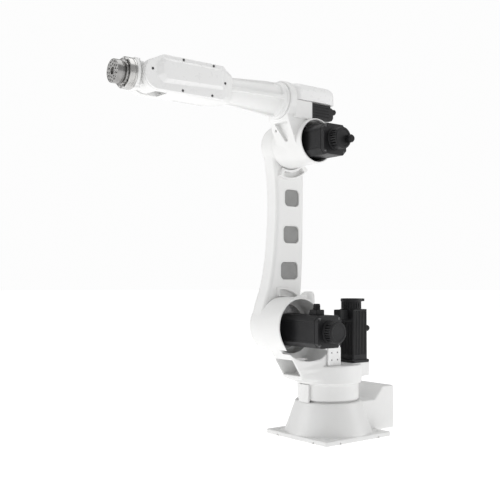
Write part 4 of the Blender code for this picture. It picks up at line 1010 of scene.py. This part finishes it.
# =============================== stage, light, camera ========================
floor_bm = bmesh.new()
rim = [floor_bm.verts.new((40 * math.cos(2 * math.pi * k / 96), 40 * math.sin(2 * math.pi * k / 96), 0.0)) for k in range(96)]
floor_bm.faces.new(rim)
floor_mesh = bpy.data.meshes.new("studio_floor")
floor_bm.to_mesh(floor_mesh)
floor_bm.free()
floor = bpy.data.objects.new("studio_floor", floor_mesh)
bpy.context.scene.collection.objects.link(floor)
floor.location.z = -0.0005
pale = bpy.data.materials.new("studio_floor_white")
pale.use_nodes = True
tree = pale.node_tree
shade = tree.nodes["Principled BSDF"]
shade.inputs["Base Color"].default_value = (0.80, 0.80, 0.80, 1.0)
shade.inputs["Roughness"].default_value = 0.9
shade.inputs["Specular IOR Level"].default_value = 0.1
shade.inputs["Emission Color"].default_value = (1.0, 1.0, 1.0, 1.0)
shade.inputs["Emission Strength"].default_value = 0.66
floor_mesh.materials.append(pale)

world = bpy.data.worlds.new("studio")
bpy.context.scene.world = world
world.use_nodes = True
wt = world.node_tree
wt.nodes.clear()
out = wt.nodes.new("ShaderNodeOutputWorld")
fill = wt.nodes.new("ShaderNodeBackground")
fill.inputs["Color"].default_value = (1.0, 1.0, 1.0, 1.0)
fill.inputs["Strength"].default_value = 0.47
seen = wt.nodes.new("ShaderNodeBackground")
seen.inputs["Color"].default_value = (1.0, 1.0, 1.0, 1.0)
seen.inputs["Strength"].default_value = 0.98
path = wt.nodes.new("ShaderNodeLightPath")
pick = wt.nodes.new("ShaderNodeMixShader")
wt.links.new(path.outputs["Is Camera Ray"], pick.inputs["Fac"])
wt.links.new(fill.outputs[0], pick.inputs[1])
wt.links.new(seen.outputs[0], pick.inputs[2])
wt.links.new(pick.outputs[0], out.inputs["Surface"])


def softbox(name, at, to, size, power):
    data = bpy.data.lights.new(name, "AREA")
    data.shape = "RECTANGLE"
    data.size, data.size_y = size
    data.energy = power
    lamp = bpy.data.objects.new(name, data)
    bpy.context.scene.collection.objects.link(lamp)
    lamp.location = at
    lamp.rotation_euler = (Vector(to) - Vector(at)).to_track_quat("-Z", "Y").to_euler()
    lamp.visible_camera = False
    return lamp


LEFT = Vector((0.787, -0.617, 0.0))
FRONT = Vector((0.691, 0.723, 0.0))
softbox("key_left", LEFT * 3.6 + FRONT * 0.6 + Vector((0, 0, 1.6)), (0.1, 0, 0.75), (2.2, 3.0), 34)
softbox("rim_right", LEFT * -3.6 + FRONT * 0.2 + Vector((0, 0, 1.4)), (0, 0, 0.7), (2.0, 3.0), 26)
softbox("top", Vector((0.2, 0.1, 3.8)), (0.2, 0, 0.6), (3.0, 3.0), 40)

cam_data = bpy.data.cameras.new("camera")
cam_data.lens = 56.86
cam_data.sensor_width = 36.0
cam = bpy.data.objects.new("camera", cam_data)
bpy.context.scene.collection.objects.link(cam)
az, pitch = math.radians(231.888), math.radians(2.0804)
fw = Vector((math.cos(az) * math.cos(pitch), math.sin(az) * math.cos(pitch), math.sin(pitch)))
rt = fw.cross(Vector((0, 0, 1))).normalized()
up = rt.cross(fw)
cam.matrix_world = Matrix((
    (rt.x, up.x, -fw.x, 3.1668 * math.cos(math.radians(46.29))),
    (rt.y, up.y, -fw.y, 3.1668 * math.sin(math.radians(46.29))),
    (rt.z, up.z, -fw.z, 0.6165),
    (0, 0, 0, 1),
))
cam_data.clip_end = 200.0
bpy.context.scene.camera = cam
bpy.context.scene.view_settings.view_transform = "Standard"
